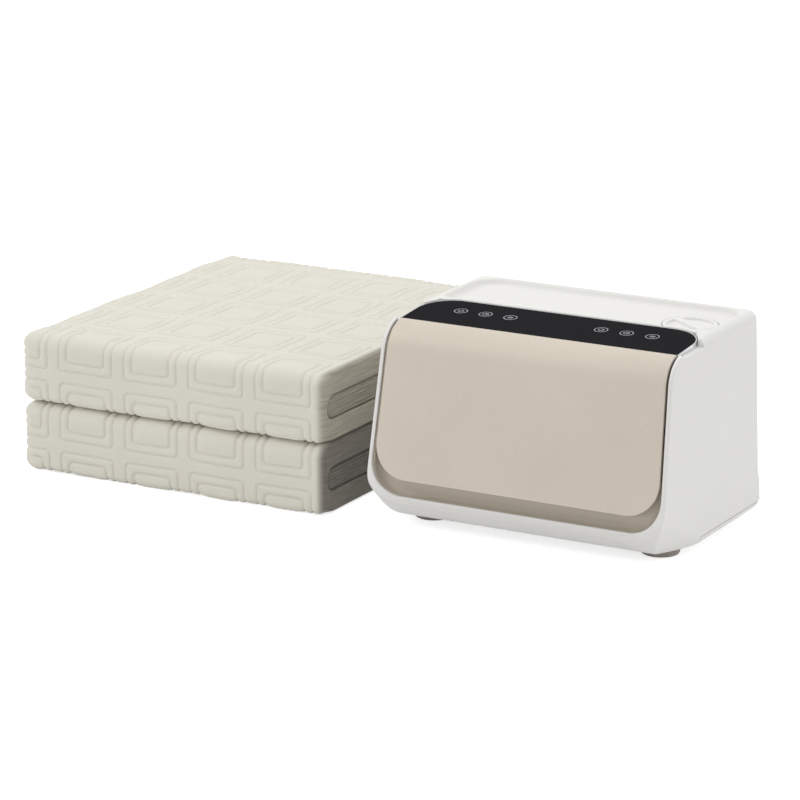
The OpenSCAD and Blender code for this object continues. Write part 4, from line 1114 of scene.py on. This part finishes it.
@dataclass
class KeyPrint:
    """Silver ring and sign of each touch key, repeated over the keys by a node tree."""

    unit: Unit
    ring_radius: float = 0.0061
    stroke: float = 0.00035
    lift: float = 0.00003
    flatness: float = 0.15
    ring_steps: int = 36
    arc_steps: int = 9
    stroke_sides: int = 5
    signs: int = 3
    crease: float = 60.0

    def _places(self) -> Array:
        """Middle of each key, just above the glass."""
        u = self.unit
        tilt = math.radians(u.glass_tilt)
        spots = []
        y = u.key_y * math.cos(tilt)
        z = u.glass_z + u.key_y * math.sin(tilt) + self.lift
        for side in (-1, 1):
            for number in range(self.signs):
                spots.append((side * (u.key_first + number * u.key_pitch), y, z))
        return np.array(sorted(spots)) + np.array(u.origin)

    def _stroked(self, tree: bpy.types.NodeTree, curve: bpy.types.Node,
                 radius: bpy.types.NodeSocket) -> bpy.types.NodeSocket:
        """Thickens a curve into a closed stroke."""
        profile = tree.nodes.new("GeometryNodeCurvePrimitiveCircle")
        profile.inputs["Resolution"].default_value = self.stroke_sides
        tree.links.new(radius, profile.inputs["Radius"])
        body = tree.nodes.new("GeometryNodeCurveToMesh")
        body.inputs["Fill Caps"].default_value = True
        tree.links.new(curve.outputs["Curve"], body.inputs["Curve"])
        tree.links.new(profile.outputs["Curve"], body.inputs["Profile Curve"])
        return body.outputs["Mesh"]

    def _arc(self, tree: bpy.types.NodeTree, radius: float, start: float, sweep: float) -> bpy.types.Node:
        """Arc round the key's middle, with its angles in degrees."""
        curve = tree.nodes.new("GeometryNodeCurveArc")
        curve.inputs["Resolution"].default_value = self.arc_steps
        curve.inputs["Radius"].default_value = radius
        curve.inputs["Start Angle"].default_value = math.radians(start)
        curve.inputs["Sweep Angle"].default_value = math.radians(sweep)
        return curve

    @staticmethod
    def _line(tree: bpy.types.NodeTree, start: Span, end: Span) -> bpy.types.Node:
        """Straight stroke between two places in the key's plane."""
        curve = tree.nodes.new("GeometryNodeCurvePrimitiveLine")
        curve.inputs["Start"].default_value = (*start, 0.0)
        curve.inputs["End"].default_value = (*end, 0.0)
        return curve

    def _signs(self, tree: bpy.types.NodeTree) -> list[list[bpy.types.Node]]:
        """Curves of the signs that the keys carry in turn: a switch, a clock and three waves."""
        power = [self._arc(tree, 0.0026, 125, 290), self._line(tree, (0.0, 0.0010), (0.0, 0.0034))]
        clock = [self._arc(tree, 0.0028, 0, 358), self._line(tree, (0.0, 0.0), (0.0, 0.0018)),
                 self._line(tree, (0.0, 0.0), (0.0015, 0.0))]
        waves = [self._line(tree, (-0.0026, y), (0.0026, y)) for y in (-0.0018, 0.0, 0.0018)]
        return [power, clock, waves]

    def _tree(self) -> tuple[bpy.types.NodeTree, dict[str, str]]:
        """Builds the node tree.

        Returns:
            The tree, and the identifier of each of its inputs by name.
        """
        tree = bpy.data.node_groups.new("key_print", "GeometryNodeTree")
        sockets = {
            "Keys": "NodeSocketGeometry",
            "Ring Radius": "NodeSocketFloat",
            "Stroke Radius": "NodeSocketFloat",
            "Tilt": "NodeSocketVector",
            "Finish": "NodeSocketMaterial",
        }
        names = {}
        for name, kind in sockets.items():
            names[name] = tree.interface.new_socket(name, in_out="INPUT", socket_type=kind).identifier
        tree.interface.new_socket("Print", in_out="OUTPUT", socket_type="NodeSocketGeometry")
        nodes, links = tree.nodes, tree.links
        given = nodes.new("NodeGroupInput")
        result = nodes.new("NodeGroupOutput")
        ring = nodes.new("GeometryNodeCurvePrimitiveCircle")
        ring.inputs["Resolution"].default_value = self.ring_steps
        links.new(given.outputs["Ring Radius"], ring.inputs["Radius"])
        ring_mesh = self._stroked(tree, ring, given.outputs["Stroke Radius"])
        number = nodes.new("GeometryNodeInputIndex")
        turn = nodes.new("ShaderNodeMath")
        turn.operation = "MODULO"
        turn.inputs[1].default_value = float(self.signs)
        links.new(number.outputs["Index"], turn.inputs[0])
        everything = nodes.new("GeometryNodeJoinGeometry")
        for which, curves in enumerate(self._signs(tree)):
            shape = nodes.new("GeometryNodeJoinGeometry")
            links.new(ring_mesh, shape.inputs["Geometry"])
            for curve in curves:
                stroke = self._stroked(tree, curve, given.outputs["Stroke Radius"])
                links.new(stroke, shape.inputs["Geometry"])
            flat = nodes.new("GeometryNodeTransform")
            flat.inputs["Scale"].default_value = (1.0, 1.0, self.flatness)
            links.new(shape.outputs["Geometry"], flat.inputs["Geometry"])
            chosen = nodes.new("FunctionNodeCompare")
            chosen.operation = "EQUAL"
            chosen.inputs["B"].default_value = float(which)
            chosen.inputs["Epsilon"].default_value = 0.1
            links.new(turn.outputs["Value"], chosen.inputs["A"])
            spread = nodes.new("GeometryNodeInstanceOnPoints")
            links.new(given.outputs["Keys"], spread.inputs["Points"])
            links.new(chosen.outputs["Result"], spread.inputs["Selection"])
            links.new(flat.outputs["Geometry"], spread.inputs["Instance"])
            links.new(given.outputs["Tilt"], spread.inputs["Rotation"])
            links.new(spread.outputs["Instances"], everything.inputs["Geometry"])
        real = nodes.new("GeometryNodeRealizeInstances")
        finish = nodes.new("GeometryNodeSetMaterial")
        links.new(everything.outputs["Geometry"], real.inputs["Geometry"])
        links.new(real.outputs["Geometry"], finish.inputs["Geometry"])
        links.new(given.outputs["Finish"], finish.inputs["Material"])
        links.new(finish.outputs["Geometry"], result.inputs["Print"])
        return tree, names

    def build(self) -> bpy.types.Object:
        """Makes the print of all keys as one mesh."""
        mesh = bpy.data.meshes.new("key_print")
        mesh.from_pydata([tuple(p) for p in self._places()], [], [])
        made = bpy.data.objects.new("key_print", mesh)
        bpy.context.scene.collection.objects.link(made)
        tree, names = self._tree()
        rule = made.modifiers.new("keys", "NODES")
        rule.node_group = tree
        rule[names["Ring Radius"]] = self.ring_radius
        rule[names["Stroke Radius"]] = self.stroke
        rule[names["Tilt"]] = (math.radians(self.unit.glass_tilt), 0.0, 0.0)
        rule[names["Finish"]] = KEY_SILVER.material()
        bake_modifiers(made)
        smooth_by_angle(made, self.crease)
        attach(made, "unit")
        return made


@dataclass
class Bundle:
    """Folded quilted bundle, in its own frame from its front right lower corner.

    X runs left as negative values, Y to the back. All lengths are in metres.
    """

    level: str
    width: float = 0.338
    depth: float = 0.380
    height: float = 0.0645
    edge_r: float = 0.012
    low_edge_r: float = 0.006
    left_r: float = 0.018
    fold_z: float = 0.03125
    pitch_x: float = 0.0725
    pitch_y: float = 0.0755
    bar: float = 0.0125
    first_row: float = 0.051
    front_low: float = 0.0325
    front_next: float = 0.0437
    band: float = 0.00875
    rise: float = 0.0018
    bar_rise: float = 0.0010
    seam_depth: float = 0.0015
    side_r: float = 0.0095
    pad_r: float = 0.005
    fold_t: float = 0.0215
    fold_front: float = 0.0095
    fold_gap: float = 0.0009
    fold_left: float = 0.017
    outer_seam: Span = (0.0006, 0.0014)
    inner_seam: Span = (0.0002, 0.0015)
    inner_seam_share: float = 1.1
    ridge: Span = (0.0045, 0.0026)
    ridge_rise: float = 0.0003
    crown_w: float = 0.011
    end_edge_r: float = 0.0030
    end_turn: Span = (0.006, 0.022)
    slot_edge_r: float = 0.0018
    wander: float = 0.0007
    sag: float = 0.0004
    calm_end: Span = (0.004, 0.030)
    layer_t: float = 0.0036
    layer_rise: float = 0.0004
    fold_end: float = 0.001
    fold_back: float = 0.004
    fold_edge_r: float = 0.0020
    most_blocks: int = 40
    most: int = 600000
    grid_x: Stops = ((-0.3440, 1), (-0.012, 1), (0.0015, 1))
    grid_y: Stops = ((-0.0035, 1), (0.3840, 1))
    grid_z: Stops = ((-0.0035, 1), (0.0700, 1))
    fold_grid_x: Stops = ((-0.3235, 6), (-0.006, 0.8), (0.001, 1))
    fold_grid_y: Stops = ((0.008, 0.8), (0.032, 4), (0.368, 0.8), (0.378, 1))
    fold_grid_z: Stops = ((0.0185, 0.6), (0.0440, 1))

    def __post_init__(self) -> None:
        """Takes the bundle's place from its solid."""
        low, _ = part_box(f"{self.level}_quilt")
        fold_low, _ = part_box(f"{self.level}_inner_fold")
        self.origin = Vector((fold_low.x - self.fold_left + self.width, low.y + self.rise,
                              low.z + self.rise))
        self.mid = self.height / 2
        self.nose_y = self.fold_front + self.fold_t / 2

    def _columns(self, x: Array) -> Array:
        """Distance to the nearest block column, negative inside it."""
        block = self.pitch_x - self.bar
        centre = -self.bar - block / 2
        number = np.clip(np.round((centre - x) / self.pitch_x), 0, self.most_blocks)
        return np.abs(x - centre + number * self.pitch_x) - block / 2

    def _rows(self, v: Array) -> Array:
        """Distance to the nearest block row along the wrap over the front edge."""
        block = self.pitch_y - self.bar
        low = self.first_row + self.bar / 2 + block / 2
        number = np.clip(np.round((v - low) / self.pitch_y), 0, self.most_blocks)
        top_rows = np.abs(v - low - number * self.pitch_y) - block / 2
        front_high = self.first_row - self.bar / 2
        over = np.abs(v - (front_high - self.front_low) / 2) - (front_high + self.front_low) / 2
        under_mid = -self.front_next - block / 2
        number = np.clip(np.round((under_mid - v) / self.pitch_y), 0, self.most_blocks)
        under = np.abs(v - under_mid + number * self.pitch_y) - block / 2
        return np.minimum(np.minimum(top_rows, over), under)

    def _relief(self, columns: Array, rows: Array) -> Array:
        """Height of the quilting: flat bars, two stitched seams round each block and a puffed pad."""
        block = join_round(columns, rows, self.pad_r)
        pad = join_round(columns + self.band, rows + self.band, self.pad_r)
        seam = bell(block, *self.outer_seam)
        inner = bell(pad, *self.inner_seam)
        crown = smoothstep(-pad, 0.0, self.crown_w)
        height = self.bar_rise - self.seam_depth * seam - self.inner_seam_share * self.seam_depth * inner
        return height + self.ridge_rise * bell(block, *self.ridge) + (self.rise - self.bar_rise) * crown

    def quilting(self, x: Array, y: Array, z: Array) -> Array:
        """Height of the quilting at a place near the bundle's surface."""
        r = np.where(z < self.mid, self.low_edge_r, self.edge_r)
        mx = np.minimum(x + self.width - self.left_r, -1e-9)
        my = y - np.clip(y, r, self.depth - r)
        mz = z - np.clip(z, r, self.height - r)
        total = mx**2 * (mx < -1e-8) + my**2 + mz**2 + 1e-12
        wx, wy = mx**2 * (mx < -1e-8) / total, my**2 / total
        columns = self._columns(x)
        upper = z > self.mid
        flat_v = np.where(upper, y, -self.height - y)
        top = self._relief(columns, self._rows(flat_v))
        face_v = np.where(y < self.depth / 2, z - self.height, self.depth + self.height - z)
        face = self._relief(columns, self._rows(face_v))
        left = self._relief(self._columns(-self.width - (self.height - z)), self._rows(y))
        return top * (1 - wx - wy) + face * wy + left * wx

    def form(self, x: Array, y: Array, z: Array) -> Array:
        """Distance to the quilted outer layer."""
        x, y, z = self._slack(x, y, z)
        across = join_round(np.abs(y - self.depth / 2) - self.depth / 2,
                            np.abs(z - self.mid) - self.mid,
                            np.where(z < self.mid, self.low_edge_r, self.edge_r))
        body = join_round(across, -self.width - x, self.left_r)
        body = body - self.quilting(x, y, z)
        end_r = self.end_edge_r + (self.side_r - self.end_edge_r) * (1 - smoothstep(y, *self.end_turn))
        body = join_round(body, x, end_r)
        slot = self.fold_form(x, y, z, self.fold_gap)
        return cut_round(body, slot, self.slot_edge_r)

    def _slack(self, x: Array, y: Array, z: Array) -> tuple[Array, Array, Array]:
        """Lets the seams and faces run a little unevenly, as on cloth folded by hand.

        The waves are 60 to 250 mm long, with no common measure, so that no two pads are alike.
        """
        inwards = smoothstep(-x, *self.calm_end)
        across = x + self.wander * inwards * (np.sin(38 * y + 25 * z) + 0.6 * np.sin(97 * y + 1.3))
        along = y + self.wander * (np.sin(41 * x + 0.7) + 0.6 * np.sin(103 * x + 30 * z))
        level = z + self.sag * inwards * (np.sin(52 * x + 31 * y) + 0.7 * np.sin(29 * x - 47 * y + 2.0))
        return across, along, level

    def fold_form(self, x: Array, y: Array, z: Array, grow: float) -> Array:
        """Distance to the inner folded layers, grown by a gap."""
        across = np.hypot(np.minimum(y - self.nose_y, 0.0), z - self.fold_z)
        across = np.where(y < self.nose_y, across, np.abs(z - self.fold_z)) - self.fold_t / 2 - grow
        return np.maximum(across, -self.width + self.fold_left - grow - x)

    def inner_form(self, x: Array, y: Array, z: Array) -> Array:
        """Distance to the inner fold with its soft edges and the edges of its layers."""
        body = self.fold_form(x, y, z, 0.0)
        layers = self.layer_rise * np.cos((z - self.fold_z) * (2 * math.pi / self.layer_t))
        body = join_round(body, x + self.fold_end + layers, self.fold_edge_r)
        return join_round(body, y - self.depth + self.fold_back + layers, self.fold_edge_r)

    def build(self) -> None:
        """Makes the quilted layer and the inner fold and lets them stand for their solids."""
        unit = grid_unit()
        skin = Skin(self.form, *(graded(stops, unit) for stops in (self.grid_x, self.grid_y, self.grid_z)))
        quilt = skin.build(f"{self.level}_quilt_cover", self.origin, self.most)
        # The right end of the quilt gets painted shade from the unit beside it.
        dress(quilt, FabricFinish(f"{self.level}_quilt_fabric", QUILT_CREAM,
                                  end_shade_colour=QUILT_END_SHADE[self.level], end_x=self.origin.x))
        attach(quilt, f"{self.level}_bundle")
        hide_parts(f"{self.level}_quilt")
        skin = Skin(self.inner_form, graded(self.fold_grid_x, unit), graded(self.fold_grid_y, unit),
                    graded(self.fold_grid_z, unit))
        fold = skin.build(f"{self.level}_inner_layers", self.origin)
        # The right end of the inner layers gets painted shade too.
        dress(fold, FabricFinish(f"{self.level}_fold_fabric", FOLD_CREAM,
                                 end_shade_colour=FOLD_END_SHADE[self.level], end_x=self.origin.x))
        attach(fold, f"{self.level}_bundle")
        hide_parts(f"{self.level}_inner_fold")


@dataclass
class Studio:
    """White floor, soft lights and the camera, whose place is measured from the unit."""

    unit: Unit
    camera_reach: Place = (1.5314, -3.0278, 1.0727)
    azimuth: float = 28.9
    elevation: float = 15.5
    lens_px: float = 3900.0
    frame_px: float = 800.0
    sensor: float = 36.0
    far: float = 50.0
    fill: float = 0.62
    floor_half: float = 12.0
    floor_z: float = -0.0002
    floor_grey: float = 0.86
    floor_roughness: float = 0.9
    floor_glow: float = 0.70
    lamps: tuple[tuple[str, Place, float, float], ...] = (
        ("key", (-1.5, -1.3, 1.9), 1.2, 14.0),
        ("top", (0.2, 0.6, 2.2), 2.0, 15.0),
        ("side", (2.4, -0.2, 1.0), 1.6, 4.0),
    )
    lamp_aim: Place = (0.0, 0.0, 0.08)

    def build(self) -> None:
        """Sets the whole stage."""
        self._world()
        self._floor()
        for lamp in self.lamps:
            self._lamp(*lamp)
        self._camera()
        bpy.context.scene.view_settings.view_transform = "Standard"

    def _camera(self) -> None:
        """Places the camera at the photograph's angle."""
        data = bpy.data.cameras.new("camera")
        data.sensor_width = self.sensor
        data.lens = self.lens_px / self.frame_px * data.sensor_width
        data.clip_end = self.far
        camera = bpy.data.objects.new("camera", data)
        bpy.context.scene.collection.objects.link(camera)
        camera.location = self.unit.origin + Vector(self.camera_reach)
        camera.rotation_euler = (math.radians(90 - self.elevation), 0.0, math.radians(self.azimuth))
        bpy.context.scene.camera = camera

    def _world(self) -> None:
        """White surroundings that also fill in the shadows."""
        world = bpy.data.worlds.new("studio")
        world.use_nodes = True
        bpy.context.scene.world = world
        nodes, links = world.node_tree.nodes, world.node_tree.links
        seen = nodes.new("ShaderNodeBackground")
        seen.inputs["Strength"].default_value = 1.0
        seen.inputs["Color"].default_value = (1, 1, 1, 1)
        fill = nodes["Background"]
        fill.inputs["Color"].default_value = (1, 1, 1, 1)
        fill.inputs["Strength"].default_value = self.fill
        mix = nodes.new("ShaderNodeMixShader")
        links.new(self._seen_directly(nodes, links), mix.inputs["Fac"])
        links.new(fill.outputs["Background"], mix.inputs[1])
        links.new(seen.outputs["Background"], mix.inputs[2])
        links.new(mix.outputs["Shader"], nodes["World Output"].inputs["Surface"])

    @staticmethod
    def _seen_directly(nodes: bpy.types.Nodes, links: bpy.types.NodeLinks) -> bpy.types.NodeSocket:
        """1 for rays from the camera, mirrors or glass, and 0 for light that falls on the object."""
        path = nodes.new("ShaderNodeLightPath")
        first = nodes.new("ShaderNodeMath")
        first.operation = "MAXIMUM"
        links.new(path.outputs["Is Camera Ray"], first.inputs[0])
        links.new(path.outputs["Is Glossy Ray"], first.inputs[1])
        second = nodes.new("ShaderNodeMath")
        second.operation = "MAXIMUM"
        links.new(first.outputs["Value"], second.inputs[0])
        links.new(path.outputs["Is Transmission Ray"], second.inputs[1])
        return second.outputs["Value"]

    def _floor(self) -> None:
        """White floor that keeps the object's shadow."""
        half, z = self.floor_half, self.floor_z
        points = np.array([[-half, -half, z], [half, -half, z], [half, half, z], [-half, half, z]])
        floor = mesh_piece("studio_floor", points, np.array([[0, 1, 2, 3]]))
        made = bpy.data.materials.new("floor_white")
        made.use_nodes = True
        nodes, links = made.node_tree.nodes, made.node_tree.links
        shader = nodes["Principled BSDF"]
        shader.inputs["Base Color"].default_value = (self.floor_grey, self.floor_grey, self.floor_grey, 1)
        shader.inputs["Roughness"].default_value = self.floor_roughness
        shader.inputs["Specular IOR Level"].default_value = 0.0
        glow = nodes.new("ShaderNodeEmission")
        glow.inputs["Color"].default_value = (1, 1, 1, 1)
        glow.inputs["Strength"].default_value = self.floor_glow
        both = nodes.new("ShaderNodeAddShader")
        links.new(shader.outputs["BSDF"], both.inputs[0])
        links.new(glow.outputs["Emission"], both.inputs[1])
        mix = nodes.new("ShaderNodeMixShader")
        links.new(self._seen_directly(nodes, links), mix.inputs["Fac"])
        links.new(shader.outputs["BSDF"], mix.inputs[1])
        links.new(both.outputs["Shader"], mix.inputs[2])
        links.new(mix.outputs["Shader"], nodes["Material Output"].inputs["Surface"])
        floor.data.materials.append(made)

    def _lamp(self, name: str, place: Place, size: float, power: float) -> None:
        """One square lamp that looks at the object's middle."""
        data = bpy.data.lights.new(name, "AREA")
        data.size = size
        data.energy = power
        lamp = bpy.data.objects.new(name, data)
        bpy.context.scene.collection.objects.link(lamp)
        lamp.location = place
        aim = Vector(self.lamp_aim) - Vector(place)
        lamp.rotation_euler = aim.to_track_quat("-Z", "Y").to_euler()


SLOT_FINISHES = {
    "white_plastic": WHITE_PLASTIC,
    "grey_rubber": GREY_RUBBER,
    "champagne_panel": PANEL_PAINT,
    "recess_grey": RECESS_PLASTIC,
    "black_glass": BLACK_GLASS,
    "silver_frame": SILVER_TRIM,
    "green_board": Finish("solder_mask", shade("2F6B45"), roughness=0.35, grain=0.0015, drift=0.08),
    "brass": Finish("brass", shade("C9A865"), roughness=0.3, metallic=1.0),
    "clear_plastic": Finish("clear_plastic", shade("CDD8DC"), roughness=0.18, relief=0.000004, clear=0.6),
    "strainer_white": Finish("strainer_white", shade("E6E6E6"), roughness=0.5),
    "float_foam": Finish("float_foam", shade("E9E3D2"), roughness=0.8, grain=0.0012, relief=0.0001),
    "natural_plastic": Finish("natural_plastic", shade("DBD4C3"), roughness=0.45),
    "dark_plastic": DARK_PLASTIC,
    "rotor_black": Finish("rotor_black", shade("48484C"), roughness=0.5),
    "steel": Finish("zinc_steel", shade("D0D0D2"), roughness=0.25, metallic=1.0, grain=0.0004),
    "copper_wire": Finish("copper_wire", shade("B5713A"), roughness=0.35, metallic=0.8, grain=0.0005,
                          relief=0.0001),
    "cast_aluminium": Finish("cast_aluminium", shade("B9BCC0"), roughness=0.45, metallic=0.9, grain=0.0009,
                             relief=0.00005),
    "black_plastic": Finish("black_plastic", shade("2C2C2F"), roughness=0.35),
    "silicone_tube": Finish("silicone_tube", shade("DCE1E3"), roughness=0.4, relief=0.00001, clear=0.3),
    "coupling_grey": Finish("coupling_grey", shade("5C5C62"), roughness=0.45, relief=0.00003),
    "button_red": Finish("button_red", shade("BF4630"), roughness=0.35),
    "tape_yellow": Finish("tape_yellow", shade("CBA43C"), roughness=0.4, drift=0.06),
    "relay_blue": Finish("relay_blue", shade("2F5FA8"), roughness=0.3),
    "quilt_fabric": FabricFinish("plain_quilt", QUILT_CREAM),
    "fold_fabric": FabricFinish("plain_fold", FOLD_CREAM),
}
SMALL_PARTS = {
    "fill_cap": ("filler_cap", 0.0016),
    "hose_coupling": ("coupling_block", 0.0004),
    "release_button": ("coupling_button", 0.0008),
    "mains_inlet": ("mains_socket", 0.0004),
    "rubber_feet": ("round_feet", 0.0012),
}


def build_small_parts() -> None:
    """Rounds the edges of the small parts that show on the outside."""
    record = frame["record"]
    slots = {part["node"]: part["material_slot"] for part in record["subparts"]}
    bodies = {node: body for body, nodes in record["behaviour"]["bodies"].items() for node in nodes}
    for node, (name, edge) in SMALL_PARTS.items():
        made = soft_copy(node, name, edge, bodies[node])
        dress(made, SLOT_FINISHES[slots[node]])
        LOG.info("%s has %d faces", name, len(made.data.polygons))


def dress_inner_nodes() -> None:
    """Gives every solid of the frame the finish of its slot in the record."""
    for part in frame["record"]["subparts"]:
        dress(frame["nodes"][part["node"]], SLOT_FINISHES[part["material_slot"]])
    LOG.info("%d solids are dressed", len(frame["nodes"]))


def main() -> None:
    """Builds the looks round the frame, sub-assembly by sub-assembly."""
    logging.basicConfig(level=logging.INFO, format="%(message)s")
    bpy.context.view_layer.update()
    unit = Unit()
    Studio(unit).build()
    LOG.info("studio is set")
    HousingShell(unit).build()
    LOG.info("housing is built")
    recess = FrontRecess(unit)
    recess.build_liner()
    recess.build_panel()
    GlassTop(unit).build_glass()
    BaseCover(unit).build()
    LOG.info("front, glass and base cover are built")
    KeyPrint(unit).build()
    build_small_parts()
    for level in ("lower", "upper"):
        Bundle(level).build()
        LOG.info("%s bundle is built", level)
    dress_inner_nodes()


if __name__ == "__main__":
    main()
